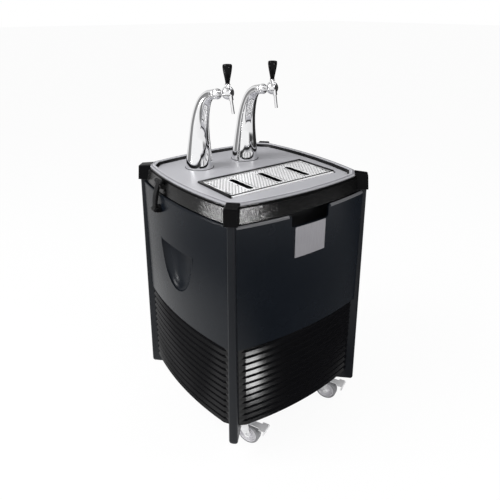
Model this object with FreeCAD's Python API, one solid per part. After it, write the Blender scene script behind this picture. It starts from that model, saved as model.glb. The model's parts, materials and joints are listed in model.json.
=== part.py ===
import FreeCAD, Part
import math
import os

# Two-tap mobile beer cooler on castors, in millimetres.
# Frame: origin on the floor under the middle of the cabinet, +Z up, taps and drip tray at -Y.
# A face is drawn once as the front face (-Y) and turned about Z to the other sides.

V = FreeCAD.Vector
UP = V(0, 0, 1)
FORWARD = V(1, 0, 0)
ROOT2 = math.sqrt(2.0)
FRONT, RIGHT, REAR, LEFT = 0, 90, 180, 270

# ---------------------------------------------------------------- driving dimensions
# cabinet shell
BOW_RADIUS = 1080.0          # plan radius of every bowed face
PANEL_DEPTH_TOP = 276.0      # centre of the cabinet to the middle of a face, at PANEL_TOP
PANEL_LEAN = 1.0 / 60.0      # outward run per unit of drop
PANEL_WALL = 6.0
PANEL_EDGE = 4.0             # rounding of the top outer edge
SLAT_COUNT = 12
SLAT_WALL = 2.6
SLAT_SET_IN = 8.0            # how far the top of a slat lies behind its bottom edge
SLAT_COVER = 0.67            # slat height as a share of the slat pitch
SLAT_END = 24.0              # length of the turned-in end of a slat
SLAT_TUCK = 7.0              # how far that end turns in
FRAME_RAIL = 10.0            # height of the rails behind the first and last slats
FRAME_WALL = 6.0             # thickness of the frame that carries the slats
FRAME_BITE = 1.6             # how deep the top of a slat stands in the frame
STILE_WIDTH = 9.0
RIB_WIDTH = 6.0
RIB_PLACES = (-110.0, 0.0, 110.0)
FACE_GAP = 0.3               # between a panel or grille and the posts

# heights, stacked from the floor up on the castor wheels
WHEEL_RADIUS = 37.5
POST_LIFT = 7.0              # top of a wheel to the bottom of the corner posts
CASTOR_RISE = 28.0           # top of a wheel to the top of its castor
GRILLE_LIFT = 31.0           # underside of the base pan to the grilles
GRILLE_HEIGHT = 280.5
PANEL_GAP = 2.5              # between a grille and its panel
PANEL_HEIGHT = 377.0
LID_GAP = 2.0                # between the panels and the rim of the lid
RIM_HEIGHT = 45.0
LIP_RISE = 7.0               # lip of the deck above the rim

# corner posts: fins that stand out along the diagonals
POST_INSET = 45.7            # inner end of a post to the corner of the panels
POST_PROUD_TOP = 3.9         # nose of a post outside that corner, at the top
POST_PROUD_BOTTOM = 11.5
POST_THICK_TOP = 21.0
POST_THICK_BOTTOM = 28.0
POST_NOSE = 7.0              # length of the rounded nose
POST_FOOT_EDGE = 6.0
POST_GAP = 0.3               # under the corner caps

# front notch and the plate below it
NOTCH_HALF = 68.0
NOTCH_DEPTH = 36.0
NOTCH_ROUND = 8.0
PLATE_WIDTH = 112.0
PLATE_HEIGHT = 91.0
PLATE_THICK = 2.0
PLATE_DROP = 1.5             # from the bottom of the notch to the top of the plate

# side grips: quarter ellipsoids with a flat ceiling
GRIP_HALF = 90.0
GRIP_HEIGHT = 141.0
GRIP_DEPTH = 36.0
GRIP_DROP = 141.0            # top of the panel to the ceiling of the grip
GRIP_WALL = 3.0

# connection recess in the rear panel
RECESS_INSET = 91.0          # side panels to the ends of the recess
RECESS_LIFT = 17.0           # bottom of the panel to the recess
RECESS_HEIGHT = 74.0
RECESS_DEPTH = 24.0
RECESS_WALL = 3.0

# base and shelf
PAN_INSET = 47.3042          # edge of the pan inside the corner of the panels
PAN_WALL = 3.0
PAN_FLANGE = 28.0
PAD_HALF_X = 46.0
PAD_HALF_Y = 40.0
PAD_THICK = 4.0
SHELF_INSET = 54.0
SHELF_LIFT = 3.0             # bottom of the panels to the shelf
SHELF_THICK = 3.0

# lid
RIM_INSET = 8.0              # bottom of the rim behind the top of the panels
RIM_TAPER = 8.5              # top of the rim behind its bottom
RIM_WALL = 4.0
FLANGE_DROP = 7.0            # top of the rim to the flange that carries the deck
FLANGE_THICK = 4.5
FLANGE_REACH = 34.0
DECK_THICK = 4.0
LIP_WIDTH = 13.0
LIP_EDGE = 4.0
CAP_HALF_TOP = 19.0
CAP_HALF_BOTTOM = 18.5
CAP_PROUD_TOP = 22.0         # tip of a cap outside the corner of the rim
CAP_PROUD_BOTTOM = 18.0
CAP_RISE = 0.5               # top of a cap above the lip
CAP_FALL = 4.0               # fall of that top towards the tip
CAP_LIFT = 4.0               # bottom of a cap above the bottom of the rim
CAP_EDGE = 4.0

# drip tray and grid
GRID_LENGTH = 374.0
GRID_WIDTH = 149.0
GRID_THICK = 2.0
GRID_Y = -88.0
GRID_GAP = 1.0
GRID_SLOT_PLACES = (-105.0, 0.0, 105.0)
GRID_SLOT_WIDTH = 14.0
GRID_SLOT_LENGTH = 98.0
GRID_SLOT_Y = -94.0
TRAY_WALL = 3.0
TRAY_LEDGE = 4.0
TRAY_DEPTH = 30.0
TRAY_FLANGE = 3.5
TRAY_FLANGE_THICK = 1.6
TRAY_SEAT = 0.3              # under the tray flange and under the grid
TRAY_GAP = 0.5               # around the tray in the deck
TRAY_DRAIN_RADIUS = 7.0

# columns: stations are (reach forward, height above the deck, outer radius)
COLUMN_MIDDLE_X = -17.0
COLUMN_INSET = 188.0         # face of the panels to a column, without the offset of the middle
COLUMN_Y = 128.0
COLUMN_TOE = 3.8             # degrees that each column turns towards the other
COLUMN_STATIONS = (
    (0.0, 0.0, 44.0),
    (1.0, 25.0, 40.5),
    (3.0, 62.0, 36.0),
    (6.5, 104.0, 31.0),
    (12.0, 140.0, 27.5),
    (23.0, 176.0, 24.0),
    (38.0, 204.0, 20.5),
    (57.0, 221.0, 16.5),
    (78.0, 229.0, 13.2),
)
COLUMN_WALL = 3.0
COLUMN_FLOOR = 5.0
STUD_RADIUS = 14.0
STUD_LENGTH = 26.0
STUD_GAP = 0.3
LINE_HOLE_RADIUS = 6.5
NUT_RADIUS = 23.0
NUT_THICK = 12.0
NUT_GAP = 0.3

# taps, measured along the shank from the end of the column
SHANK_TILT = 10.0            # degrees above level
SHANK_RADIUS = 7.0
SHANK_BORE = 3.0
SHANK_TAIL = 12.0            # length of the shank inside the column
TAP_REACH = 73.0             # end of the column to the middle of the ball body
COLLAR_LENGTH = 34.0
COLLAR_RADIUS = 13.5
COLLAR_START = 0.3
BALL_RADIUS = 17.8
BONNET_RADIUS = 7.0
BONNET_LENGTH = 1.5
VALVE_RADIUS = 10.7
VALVE_GAP = 0.3
TRUNNION_RADIUS = 3.0
TRUNNION_REACH = 3.5         # surface of the valve to the end of a trunnion
NOZZLE_TILT = 13.0           # degrees forward of straight down
NOZZLE_START = 14.5
NOZZLE_LENGTH = 55.0         # ball middle to the open end
NOZZLE_RADIUS = 4.2
NOZZLE_BORE = 3.0
NOZZLE_OFFSET = 11.0         # ball middle to the nozzle axis at the ball
NOZZLE_BOSS_RADIUS = 6.4
NOZZLE_BOSS_LENGTH = 4.5
LEVER_RADIUS = 4.0
LEVER_COLLAR_RADIUS = 5.5
LEVER_COLLAR_RISE = 2.0      # ball surface to the collar of the lever
LEVER_SWING = 40.0           # degrees from shut to open
LEVER_SLOT_GAP = 0.4
LEVER_LENGTH = 40.0
KNOB_START = 24.0
KNOB_LENGTH = 50.0
KNOB_RADIUS = 13.2
KNOB_NECK = 6.2
KNOB_BORE_GAP = 0.05

# water bath
FOAM_INSET = 62.0            # outside of the insulation behind the panels
FOAM_DROP = 15.5             # underside of the lid to the top of the insulation
FOAM_FLOOR = 38.0
FOAM_WALL = 37.0
TANK_GAP = 0.3
TANK_WALL = 1.5
TANK_FLANGE = 12.0
COVER_THICK = 10.0
COVER_SEAT = 0.3
EVAPORATOR_TUBE = 4.5
EVAPORATOR_BEND = 40.0
EVAPORATOR_PITCH = 26.0
EVAPORATOR_TURNS = 8
EVAPORATOR_LIFT = 46.7       # floor of the bath to the lowest turn
EVAPORATOR_GAP = 0.3
COIL_RADIUS = 40.0
COIL_TUBE = 4.0
COIL_PITCH = 15.0
COIL_TURNS = 16.5
COIL_LIFT = 18.7             # floor of the bath to the lowest turn
COIL_Y = 0.0
COIL_RISE_BEND = 16.0
TUBE_GAP = 0.3               # round a tube where it passes through a wall
COUPLING_RADIUS = 11.0
COUPLING_HEIGHT = 12.0
COUPLING_DEPTH = 9.0
TAIL_RADIUS = 4.75
TAIL_PLUG = 8.0              # depth of the tail in its coupling
AGITATOR_Y = 44.0
AGITATOR_MOTOR_RADIUS = 27.0
AGITATOR_MOTOR_HEIGHT = 34.0
AGITATOR_SHAFT_RADIUS = 3.0
AGITATOR_LENGTH = 240.0
IMPELLER_RADIUS = 20.0
SHAFT_GAP = 0.05

# rear fittings
FITTING_RADIUS = 11.0
FITTING_FLANGE_RADIUS = 14.0
FITTING_FLANGE = 4.0
FITTING_OUT = 22.0
FITTING_IN = 14.0
INLET_BORE = 4.8             # takes 9.5 mm beer tube
INLET_BORE_LENGTH = 18.0
DRAIN_INSET = 126.0          # side panel to the drain
DRAIN_LIFT = 38.0            # bottom of the recess to the drain
DRAIN_SPIGOT_RADIUS = 8.0
DRAIN_SPIGOT_LENGTH = 20.0
DRAIN_BORE = 5.0
POWER_PITCH = 62.0           # drain to the power inlet
POWER_WIDTH = 30.0
POWER_HEIGHT = 24.0
POWER_BEZEL = 3.5

# refrigeration unit
COMPRESSOR_INSET_X = 108.0   # edges of the pan to the middle of the compressor
COMPRESSOR_INSET_Y = 122.0
COMPRESSOR_RADIUS = 66.0
COMPRESSOR_HEIGHT = 168.0
COMPRESSOR_FOOT = 12.0
CONDENSER_HALF = 112.0
CONDENSER_GAP = 7.0          # behind the flange of the pan
CONDENSER_THICK = 36.0
CONDENSER_HEIGHT = 200.0
CONDENSER_FINS = 15
FIN_THICK = 2.0
CONDENSER_TUBE = 5.0
FAN_RADIUS = 84.0
FAN_DEPTH = 20.0
FAN_BLADE_PITCH = 25.0       # degrees from the plane of the fan
FAN_BLADE_WALL = 2.0
FAN_BLADES = 5
FAN_SETBACK = 12.0
FAN_HUB_RADIUS = 22.0
FAN_MOTOR_RADIUS = 32.0
FAN_MOTOR_LENGTH = 48.0
FAN_SHAFT_RADIUS = 4.0
CONTROL_INSET_X = 88.0       # edges of the pan to the middle of the control box
CONTROL_INSET_Y = 104.0
CONTROL_WIDTH = 90.0
CONTROL_DEPTH = 70.0
CONTROL_HEIGHT = 110.0

# side latches: rubber straps hooked over lugs on the lid
LATCH_Y = 92.0
LATCH_PIN_DROP = 47.0        # underside of the lid to the pin axis
LATCH_PIN_OUT = 15.0         # panel face to the pin axis
LATCH_PIN_RADIUS = 3.0
LATCH_PIN_GAP = 0.05
LATCH_EYE_RADIUS = 8.0
LATCH_EYE_WIDTH = 20.0
LATCH_EAR = 5.0
LATCH_STRAP_THICK = 9.0
LATCH_BAR_RADIUS = 6.5
LATCH_BAR_OVER = 1.0         # end of the bar outside the lugs
LATCH_BOW = 6.0              # how far the strap bows outward
LUG_WIDTH = 8.0
LUG_HEIGHT = 9.0
LUG_REACH = 18.0
LUG_RISE = 28.0              # underside of the lid to the top of the lugs
LATCH_GAP = 0.4

# castors
CASTOR_INSET_X = 24.0        # swivel axis behind the side edge of the pan
CASTOR_INSET_Y = 10.0        # and behind its front or rear edge
CASTOR_HEADING = -65.0       # degrees from +X that every wheel trails at rest
WHEEL_WIDTH = 28.0
HUB_RADIUS = 12.0
TREAD_DEPTH = 7.0
DISH_DEPTH = 7.0
TRAIL = 27.0
AXLE_RADIUS = 4.0
RUN_GAP = 0.05               # radial clearance of a running fit
SIDE_GAP = 0.3
FORK_WALL = 2.5
HUB_HALF = 15.2
CROWN_THICK = 5.7
CROWN_BACK = 24.0
CROWN_FRONT = 29.0
PLATE_HALF_X = 40.0
PLATE_HALF_Y = 32.0
CASTOR_PLATE_THICK = 4.0
RACE_RADIUS = 24.0
RACE_HEIGHT = 7.0
KINGPIN_RADIUS = 6.0
BOLT_RADIUS = 3.9
BOLT_HOLE_RADIUS = 4.2
BOLT_INSET_X = 8.5
BOLT_INSET_Y = 11.0
BOLT_HEAD_RADIUS = 6.5
BOLT_HEAD = 5.0
PEDAL_PIVOT = 24.0
PEDAL_REACH = 92.0
PEDAL_TREAD = 24.0
PEDAL_HALF = 19.0
PEDAL_NECK_HALF = 11.0
PEDAL_THICK = 3.0
PEDAL_LIP = 17.0
PEDAL_PIN_RADIUS = 2.0
PEDAL_CLEAR = 1.5            # under the corner posts

# ---------------------------------------------------------------- derived places
def corner_reach(depth):
    """Centre of the cabinet to the corner where two bowed faces meet."""
    shift = BOW_RADIUS - depth
    return (math.sqrt(2 * BOW_RADIUS ** 2 - shift ** 2) - shift) / ROOT2


# heights
POST_BOTTOM = 2 * WHEEL_RADIUS + POST_LIFT
CASTOR_TOP = 2 * WHEEL_RADIUS + CASTOR_RISE
PAN_BOTTOM = CASTOR_TOP + PAD_THICK
PAN_FLOOR = PAN_BOTTOM + PAN_WALL
GRILLE_BOTTOM = PAN_BOTTOM + GRILLE_LIFT
GRILLE_TOP = GRILLE_BOTTOM + GRILLE_HEIGHT
PANEL_BOTTOM = GRILLE_TOP + PANEL_GAP
PANEL_TOP = PANEL_BOTTOM + PANEL_HEIGHT
CABINET_TOP = PANEL_TOP + LID_GAP
RIM_TOP = CABINET_TOP + RIM_HEIGHT
FLANGE_TOP = RIM_TOP - FLANGE_DROP
DECK_TOP = FLANGE_TOP + DECK_THICK
LIP_TOP = RIM_TOP + LIP_RISE
CAP_TOP = LIP_TOP + CAP_RISE
CAP_BOTTOM = CABINET_TOP + CAP_LIFT
GRIP_CEILING = PANEL_TOP - GRIP_DROP
RECESS_LOW = PANEL_BOTTOM + RECESS_LIFT
RECESS_HIGH = RECESS_LOW + RECESS_HEIGHT
DRAIN_Z = RECESS_LOW + DRAIN_LIFT
SHELF_BOTTOM = PANEL_BOTTOM + SHELF_LIFT
SHELF_TOP = SHELF_BOTTOM + SHELF_THICK
TANK_FLOOR = SHELF_TOP + FOAM_FLOOR + TANK_GAP
EVAPORATOR_BOTTOM = TANK_FLOOR + EVAPORATOR_LIFT
COIL_BOTTOM = TANK_FLOOR + COIL_LIFT
FOAM_TOP = CABINET_TOP - FOAM_DROP
COVER_BOTTOM = FOAM_TOP + TANK_WALL + COVER_SEAT
LATCH_PIN_Z = CABINET_TOP - LATCH_PIN_DROP
LUG_TOP = CABINET_TOP + LUG_RISE

# distances from the centre of the cabinet
PANEL_DEPTH_FOOT = PANEL_DEPTH_TOP + (PANEL_TOP - POST_BOTTOM) * PANEL_LEAN
POST_ROOT = corner_reach(PANEL_DEPTH_TOP) - POST_INSET
POST_TIP_TOP = corner_reach(PANEL_DEPTH_TOP) + POST_PROUD_TOP
POST_TIP_BOTTOM = corner_reach(PANEL_DEPTH_FOOT) + POST_PROUD_BOTTOM
RIM_DEPTH_BOTTOM = PANEL_DEPTH_TOP - RIM_INSET
RIM_DEPTH_TOP = RIM_DEPTH_BOTTOM - RIM_TAPER
DECK_DEPTH = RIM_DEPTH_TOP - RIM_WALL
CAP_TIP_TOP = corner_reach(RIM_DEPTH_TOP) + CAP_PROUD_TOP
CAP_TIP_BOTTOM = corner_reach(RIM_DEPTH_BOTTOM) + CAP_PROUD_BOTTOM
RECESS_FLOOR = PANEL_DEPTH_TOP - RECESS_DEPTH
SHELF_HALF = PANEL_DEPTH_TOP - SHELF_INSET
FOAM_HALF = PANEL_DEPTH_TOP - FOAM_INSET
TANK_HALF = FOAM_HALF - FOAM_WALL - TANK_GAP
COLUMN_PITCH = 2 * (PANEL_DEPTH_TOP - COLUMN_INSET)
AGITATOR_X = COLUMN_MIDDLE_X + COIL_RADIUS
RECESS_HALF = PANEL_DEPTH_TOP - RECESS_INSET
DRAIN_X = DRAIN_INSET - PANEL_DEPTH_TOP
POWER_X = DRAIN_X + POWER_PITCH
PAN_HALF = corner_reach(PANEL_DEPTH_TOP) / ROOT2 - PAN_INSET
COMPRESSOR_X = COMPRESSOR_INSET_X - PAN_HALF
COMPRESSOR_Y = PAN_HALF - COMPRESSOR_INSET_Y
CONTROL_X = PAN_HALF - CONTROL_INSET_X
CONTROL_Y = PAN_HALF - CONTROL_INSET_Y
CASTOR_X = PAN_HALF - CASTOR_INSET_X
CASTOR_Y = PAN_HALF - CASTOR_INSET_Y
CONDENSER_Y = CONDENSER_THICK / 2 + CONDENSER_GAP + PAN_WALL - PAN_HALF

COVER_TOP = COVER_BOTTOM + COVER_THICK
COLUMNS = {
    "left": (COLUMN_MIDDLE_X - COLUMN_PITCH / 2, -90.0 + COLUMN_TOE),
    "right": (COLUMN_MIDDLE_X + COLUMN_PITCH / 2, -90.0 - COLUMN_TOE),
}
CASTORS = {
    "front_left": (-1, -1),
    "front_right": (1, -1),
    "rear_left": (-1, 1),
    "rear_right": (1, 1),
}


# ---------------------------------------------------------------- helpers
def box(low, high):
    size = [b - a for a, b in zip(low, high)]
    return Part.makeBox(size[0], size[1], size[2], V(*low))


def rod(radius, start, end):
    """A cylinder from one point to another."""
    start = V(*start)
    run = V(*end) - start
    return Part.makeCylinder(radius, run.Length, start, run)


def pipe(radius, bore, start, end):
    return rod(radius, start, end).cut(rod(bore, start, end))


def turned(profile):
    """Revolve a closed (radius, height) outline about Z."""
    corners = [V(r, 0, z) for r, z in profile]
    face = Part.Face(Part.makePolygon(corners + corners[:1]))
    return face.revolve(V(0, 0, 0), UP, 360)


def aimed(shape, place, direction):
    """Turn a shape from +Z to a direction, then move it."""
    result = shape.copy()
    result.Placement = FreeCAD.Placement(V(*place), FreeCAD.Rotation(UP, V(*direction)))
    return result


def placed(shape, x, y, angle, z=0.0):
    """Turn a shape about Z, then move it."""
    result = shape.copy()
    result.rotate(V(0, 0, 0), UP, angle)
    result.translate(V(x, y, z))
    return result


def prism(outline, low, high):
    """Extrude an (x, z) outline along Y."""
    corners = [V(x, low, z) for x, z in outline]
    face = Part.Face(Part.makePolygon(corners + corners[:1]))
    return face.extrude(V(0, high - low, 0))


def plate(outline, low, high):
    """Extrude an (x, y) outline along Z."""
    corners = [V(x, y, low) for x, y in outline]
    face = Part.Face(Part.makePolygon(corners + corners[:1]))
    return face.extrude(V(0, 0, high - low))


def fused(shapes):
    result = shapes[0].multiFuse(list(shapes[1:]))
    return result.removeSplitter()


def save(name, *shapes):
    solids = [solid for shape in shapes for solid in shape.Solids]
    for solid in solids:
        if not solid.isValid():
            print("not valid:", name)
    target = solids[0] if len(solids) == 1 else Part.makeCompound(solids)
    target.exportStep("parts/" + name + ".step")
    print(name, len(solids), round(sum(s.Volume for s in solids) / 1000.0, 1))


def bent_tube(points, bend, radius):
    """A round bar along straight runs joined by tangent arcs."""
    points = [V(*p) for p in points]
    edges = []
    start = points[0]
    for before, corner, after in zip(points, points[1:], points[2:]):
        back = (before - corner).normalize()
        ahead = (after - corner).normalize()
        half = math.acos(max(-1.0, min(1.0, back.dot(ahead)))) / 2
        reach = bend / math.tan(half)
        first = corner + back * reach
        last = corner + ahead * reach
        middle = (back + ahead).normalize()
        top = corner + middle * (bend / math.sin(half) - bend)
        edges.append(Part.LineSegment(start, first).toShape())
        edges.append(Part.Arc(first, top, last).toShape())
        start = last
    edges.append(Part.LineSegment(start, points[-1]).toShape())
    ring = Part.makeCircle(radius, points[0], points[1] - points[0])
    return Part.Wire(edges).makePipeShell([Part.Wire([ring])], True, True)


# ---------------------------------------------------------------- bowed faces
def face_depth(z):
    """Centre of the cabinet to the middle of a face."""
    return PANEL_DEPTH_TOP + (PANEL_TOP - z) * PANEL_LEAN


def post_half(z):
    share = (CAP_BOTTOM - z) / (CAP_BOTTOM - POST_BOTTOM)
    return (POST_THICK_TOP + (POST_THICK_BOTTOM - POST_THICK_TOP) * share) / 2


def post_tip(z):
    share = (CAP_BOTTOM - z) / (CAP_BOTTOM - POST_BOTTOM)
    return POST_TIP_TOP + (POST_TIP_BOTTOM - POST_TIP_TOP) * share


def bow_corner(depth, radius, offset):
    """Left end of a bowed front line, where it is offset from the diagonal."""
    shift = radius - depth + offset * ROOT2
    x = (shift - math.sqrt(2 * radius ** 2 - shift ** 2)) / 2
    return x, x - offset * ROOT2


def bow_y(depth, radius, x):
    return radius - depth - math.sqrt(radius ** 2 - x ** 2)


def bow_arc(depth, radius, z, left, right):
    middle = V(0, -depth, z)
    return Part.Arc(V(left[0], left[1], z), middle, V(right[0], right[1], z)).toShape()


def band(depth, wall, offset, z, radius=BOW_RADIUS):
    """Plan outline of one bowed wall."""
    x, y = bow_corner(depth, radius, offset)
    u, v = bow_corner(depth - wall, radius - wall, offset)
    outer = bow_arc(depth, radius, z, (x, y), (-x, y))
    inner = bow_arc(depth - wall, radius - wall, z, (-u, v), (u, v))
    right = Part.LineSegment(V(-x, y, z), V(-u, v, z)).toShape()
    left = Part.LineSegment(V(u, v, z), V(x, y, z)).toShape()
    return Part.Wire([outer, right, inner, left])


def wall_between(low, high, wall, inset_low=0.0, inset_high=0.0):
    """A bowed wall that follows the lean of the cabinet."""
    outlines = []
    for z, inset in ((low, inset_low), (high, inset_high)):
        offset = post_half(z) + FACE_GAP
        outlines.append(band(face_depth(z) - inset, wall, offset, z))
    return Part.makeLoft(outlines, True, True)


def ring(depth, z):
    """Closed plan outline whose four bowed sides meet on the diagonals."""
    x, y = bow_corner(depth, BOW_RADIUS, 0.0)
    side = bow_arc(depth, BOW_RADIUS, z, (x, y), (-x, y))
    edges = []
    for angle in (FRONT, RIGHT, REAR, LEFT):
        edge = side.copy()
        edge.rotate(V(0, 0, 0), UP, angle)
        edges.append(edge)
    return Part.Wire(edges)


def cut_ring(depth, half, z):
    """Closed plan outline with straight corners of a given half width."""
    x, y = bow_corner(depth, BOW_RADIUS, half)
    edges = []
    for angle in (FRONT, RIGHT, REAR, LEFT):
        side = bow_arc(depth, BOW_RADIUS, z, (x, y), (-x, y))
        corner = Part.LineSegment(V(-x, y, z), V(-y, x, z)).toShape()
        for edge in (side, corner):
            edge.rotate(V(0, 0, 0), UP, angle)
            edges.append(edge)
    return Part.Wire(edges)


def diagonal_limit(reach, low, high):
    """Everything within a distance of the centre along all four diagonals."""
    far = reach * ROOT2
    return plate([(far, 0), (0, far), (-far, 0), (0, -far)], low, high)


# ---------------------------------------------------------------- cabinet
def panel_pieces():
    """Flat wall of a panel and its rounded top edge."""
    body = wall_between(PANEL_BOTTOM, PANEL_TOP - PANEL_EDGE, PANEL_WALL)
    outlines = []
    for turn in (0.0, 30.0, 60.0, 90.0):
        rise = PANEL_EDGE * math.sin(math.radians(turn))
        inset = PANEL_EDGE * (1 - math.cos(math.radians(turn)))
        z = PANEL_TOP - PANEL_EDGE + rise
        offset = post_half(z) + FACE_GAP
        wall = PANEL_WALL - inset
        outlines.append(band(face_depth(z) - inset, wall, offset, z, BOW_RADIUS - inset))
    return [body, Part.makeLoft(outlines, True, True)]


def plain_panel():
    return fused(panel_pieces())


def front_panel():
    notch = notch_cutter()
    return fused([piece.cut(notch) for piece in panel_pieces()])


def notch_cutter():
    """Opening with rounded ears above and rounded corners below."""
    half, low, r = NOTCH_HALF, PANEL_TOP - NOTCH_DEPTH, NOTCH_ROUND
    bend = r * (1 - math.sqrt(0.5))
    top = PANEL_TOP
    near = -PANEL_DEPTH_TOP - 2 * PANEL_WALL

    def at(x, z):
        return V(x, near, z)

    edges = [
        Part.LineSegment(at(-half - r, top + r), at(half + r, top + r)),
        Part.LineSegment(at(half + r, top + r), at(half + r, top)),
        Part.Arc(at(half + r, top), at(half + bend, top - bend), at(half, top - r)),
        Part.LineSegment(at(half, top - r), at(half, low + r)),
        Part.Arc(at(half, low + r), at(half - bend, low + bend), at(half - r, low)),
        Part.LineSegment(at(half - r, low), at(-half + r, low)),
        Part.Arc(at(-half + r, low), at(-half + bend, low + bend), at(-half, low + r)),
        Part.LineSegment(at(-half, low + r), at(-half, top - r)),
        Part.Arc(at(-half, top - r), at(-half - bend, top - bend), at(-half - r, top)),
        Part.LineSegment(at(-half - r, top), at(-half - r, top + r)),
    ]
    face = Part.Face(Part.Wire([edge.toShape() for edge in edges]))
    return face.extrude(V(0, 4 * PANEL_WALL, 0))


def ellipsoid(half, height, depth, place):
    ball = Part.makeSphere(1.0)
    matrix = FreeCAD.Matrix()
    matrix.scale(half, depth, height)
    ball = ball.transformGeometry(matrix)
    ball.translate(place)
    return ball


def below(z, reach):
    return box((-reach, -2 * reach - PANEL_DEPTH_TOP, z - 4 * reach), (reach, reach, z))


def grip_panel():
    middle = V(0, -face_depth(GRIP_CEILING), GRIP_CEILING)
    space = ellipsoid(GRIP_HALF, GRIP_HEIGHT, GRIP_DEPTH, middle)
    space = space.common(below(GRIP_CEILING, GRIP_HEIGHT))
    grow = GRIP_WALL
    shell = ellipsoid(GRIP_HALF + grow, GRIP_HEIGHT + grow, GRIP_DEPTH + grow, middle)
    shell = shell.common(below(GRIP_CEILING + grow, GRIP_HEIGHT + grow))
    near = -face_depth(GRIP_CEILING) + PANEL_WALL / 2
    reach = GRIP_HEIGHT
    inside = box((-reach, near, GRIP_CEILING - 2 * reach), (reach, 0, GRIP_CEILING + reach))
    return fused([plain_panel(), shell.common(inside)]).cut(space)


def rear_panel():
    """Panel with the recess that holds the fittings, drawn as a front face."""
    wall = RECESS_WALL
    low = (-RECESS_HALF - wall, -PANEL_DEPTH_TOP + PANEL_WALL / 2, RECESS_LOW - wall)
    high = (RECESS_HALF + wall, -RECESS_FLOOR + wall, RECESS_HIGH + wall)
    space = box((-RECESS_HALF, -PANEL_DEPTH_TOP - GRIP_DEPTH, RECESS_LOW),
                (RECESS_HALF, -RECESS_FLOOR, RECESS_HIGH))
    return fused([plain_panel(), box(low, high)]).cut(space)


def post_section(z, shrink):
    half = post_half(z) - shrink
    tip = post_tip(z) - shrink
    root = POST_ROOT + shrink
    edges = [
        Part.LineSegment(V(root, half, z), V(root, -half, z)),
        Part.LineSegment(V(root, -half, z), V(tip - POST_NOSE, -half, z)),
        Part.Arc(V(tip - POST_NOSE, -half, z), V(tip, 0, z), V(tip - POST_NOSE, half, z)),
        Part.LineSegment(V(tip - POST_NOSE, half, z), V(root, half, z)),
    ]
    return Part.Wire([edge.toShape() for edge in edges])


def corner_post():
    """A fin along +X, turned to each diagonal later."""
    outlines = [
        post_section(POST_BOTTOM, POST_FOOT_EDGE),
        post_section(POST_BOTTOM + POST_FOOT_EDGE * 0.3, POST_FOOT_EDGE * 0.3),
        post_section(POST_BOTTOM + POST_FOOT_EDGE, 0.0),
        post_section(CAP_BOTTOM - POST_GAP, 0.0),
    ]
    return Part.makeLoft(outlines, True, True)


def slat_outline(depth, z):
    """Plan outline of a slat with its two ends turned in."""
    offset = post_half(z) + FACE_GAP

    def side(depth_here, radius):
        end = bow_corner(depth_here - SLAT_TUCK, radius - SLAT_TUCK, offset)
        bend_x = bow_corner(depth_here, radius, offset)[0] + SLAT_END
        bend = (bend_x, bow_y(depth_here, radius, bend_x))
        return end, bend

    (ex, ey), (bx, by) = side(depth, BOW_RADIUS)
    inner = depth - SLAT_WALL
    (fx, fy), (cx, cy) = side(inner, BOW_RADIUS - SLAT_WALL)

    def line(a, b):
        return Part.LineSegment(V(a[0], a[1], z), V(b[0], b[1], z)).toShape()

    edges = [
        line((ex, ey), (bx, by)),
        bow_arc(depth, BOW_RADIUS, z, (bx, by), (-bx, by)),
        line((-bx, by), (-ex, ey)),
        line((-ex, ey), (-fx, fy)),
        line((-fx, fy), (-cx, cy)),
        bow_arc(inner, BOW_RADIUS - SLAT_WALL, z, (-cx, cy), (cx, cy)),
        line((cx, cy), (fx, fy)),
        line((fx, fy), (ex, ey)),
    ]
    return Part.Wire(edges)


def grille():
    """Leaning slats on a frame of two rails, two stiles and ribs."""
    low, high = GRILLE_BOTTOM, GRILLE_TOP
    pitch = (high - low) / SLAT_COUNT
    pieces = []
    for index in range(SLAT_COUNT):
        foot = low + index * pitch
        head = foot + pitch * SLAT_COVER
        pieces.append(Part.makeLoft([
            slat_outline(face_depth(foot), foot),
            slat_outline(face_depth(head) - SLAT_SET_IN, head),
        ], True, True))
    behind = SLAT_SET_IN + SLAT_WALL - FRAME_BITE
    frame = wall_between(low, high, FRAME_WALL, behind, behind)
    half = -bow_corner(face_depth(high) - behind - FRAME_WALL, BOW_RADIUS,
                       post_half(low) + FACE_GAP)[0] - STILE_WIDTH
    deep = 2 * PANEL_DEPTH_TOP
    keep = [
        box((x - RIB_WIDTH / 2, -deep, low), (x + RIB_WIDTH / 2, 0, high))
        for x in RIB_PLACES
    ]
    keep.append(box((-deep, -deep, low), (-half, 0, high)))
    keep.append(box((half, -deep, low), (deep, 0, high)))
    keep.append(box((-deep, -deep, low), (deep, 0, low + FRAME_RAIL)))
    keep.append(box((-deep, -deep, high - FRAME_RAIL), (deep, 0, high)))
    pieces.extend(frame.common(piece) for piece in keep)
    return fused(pieces)


def name_plate():
    """Blank plate that follows the bow of the front panel."""
    high = PANEL_TOP - NOTCH_DEPTH - PLATE_DROP
    low = high - PLATE_HEIGHT
    outlines = []
    for z in (low, high):
        depth = face_depth(z) + PLATE_THICK
        half = PLATE_WIDTH / 2
        outer_y = bow_y(depth, BOW_RADIUS, half)
        inner_depth = depth - PLATE_THICK
        inner_y = bow_y(inner_depth, BOW_RADIUS, half)
        edges = [
            bow_arc(depth, BOW_RADIUS, z, (-half, outer_y), (half, outer_y)),
            Part.LineSegment(V(half, outer_y, z), V(half, inner_y, z)).toShape(),
            bow_arc(inner_depth, BOW_RADIUS, z, (half, inner_y), (-half, inner_y)),
            Part.LineSegment(V(-half, inner_y, z), V(-half, outer_y, z)).toShape(),
        ]
        outlines.append(Part.Wire(edges))
    return Part.makeLoft(outlines, True, True)


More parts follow.
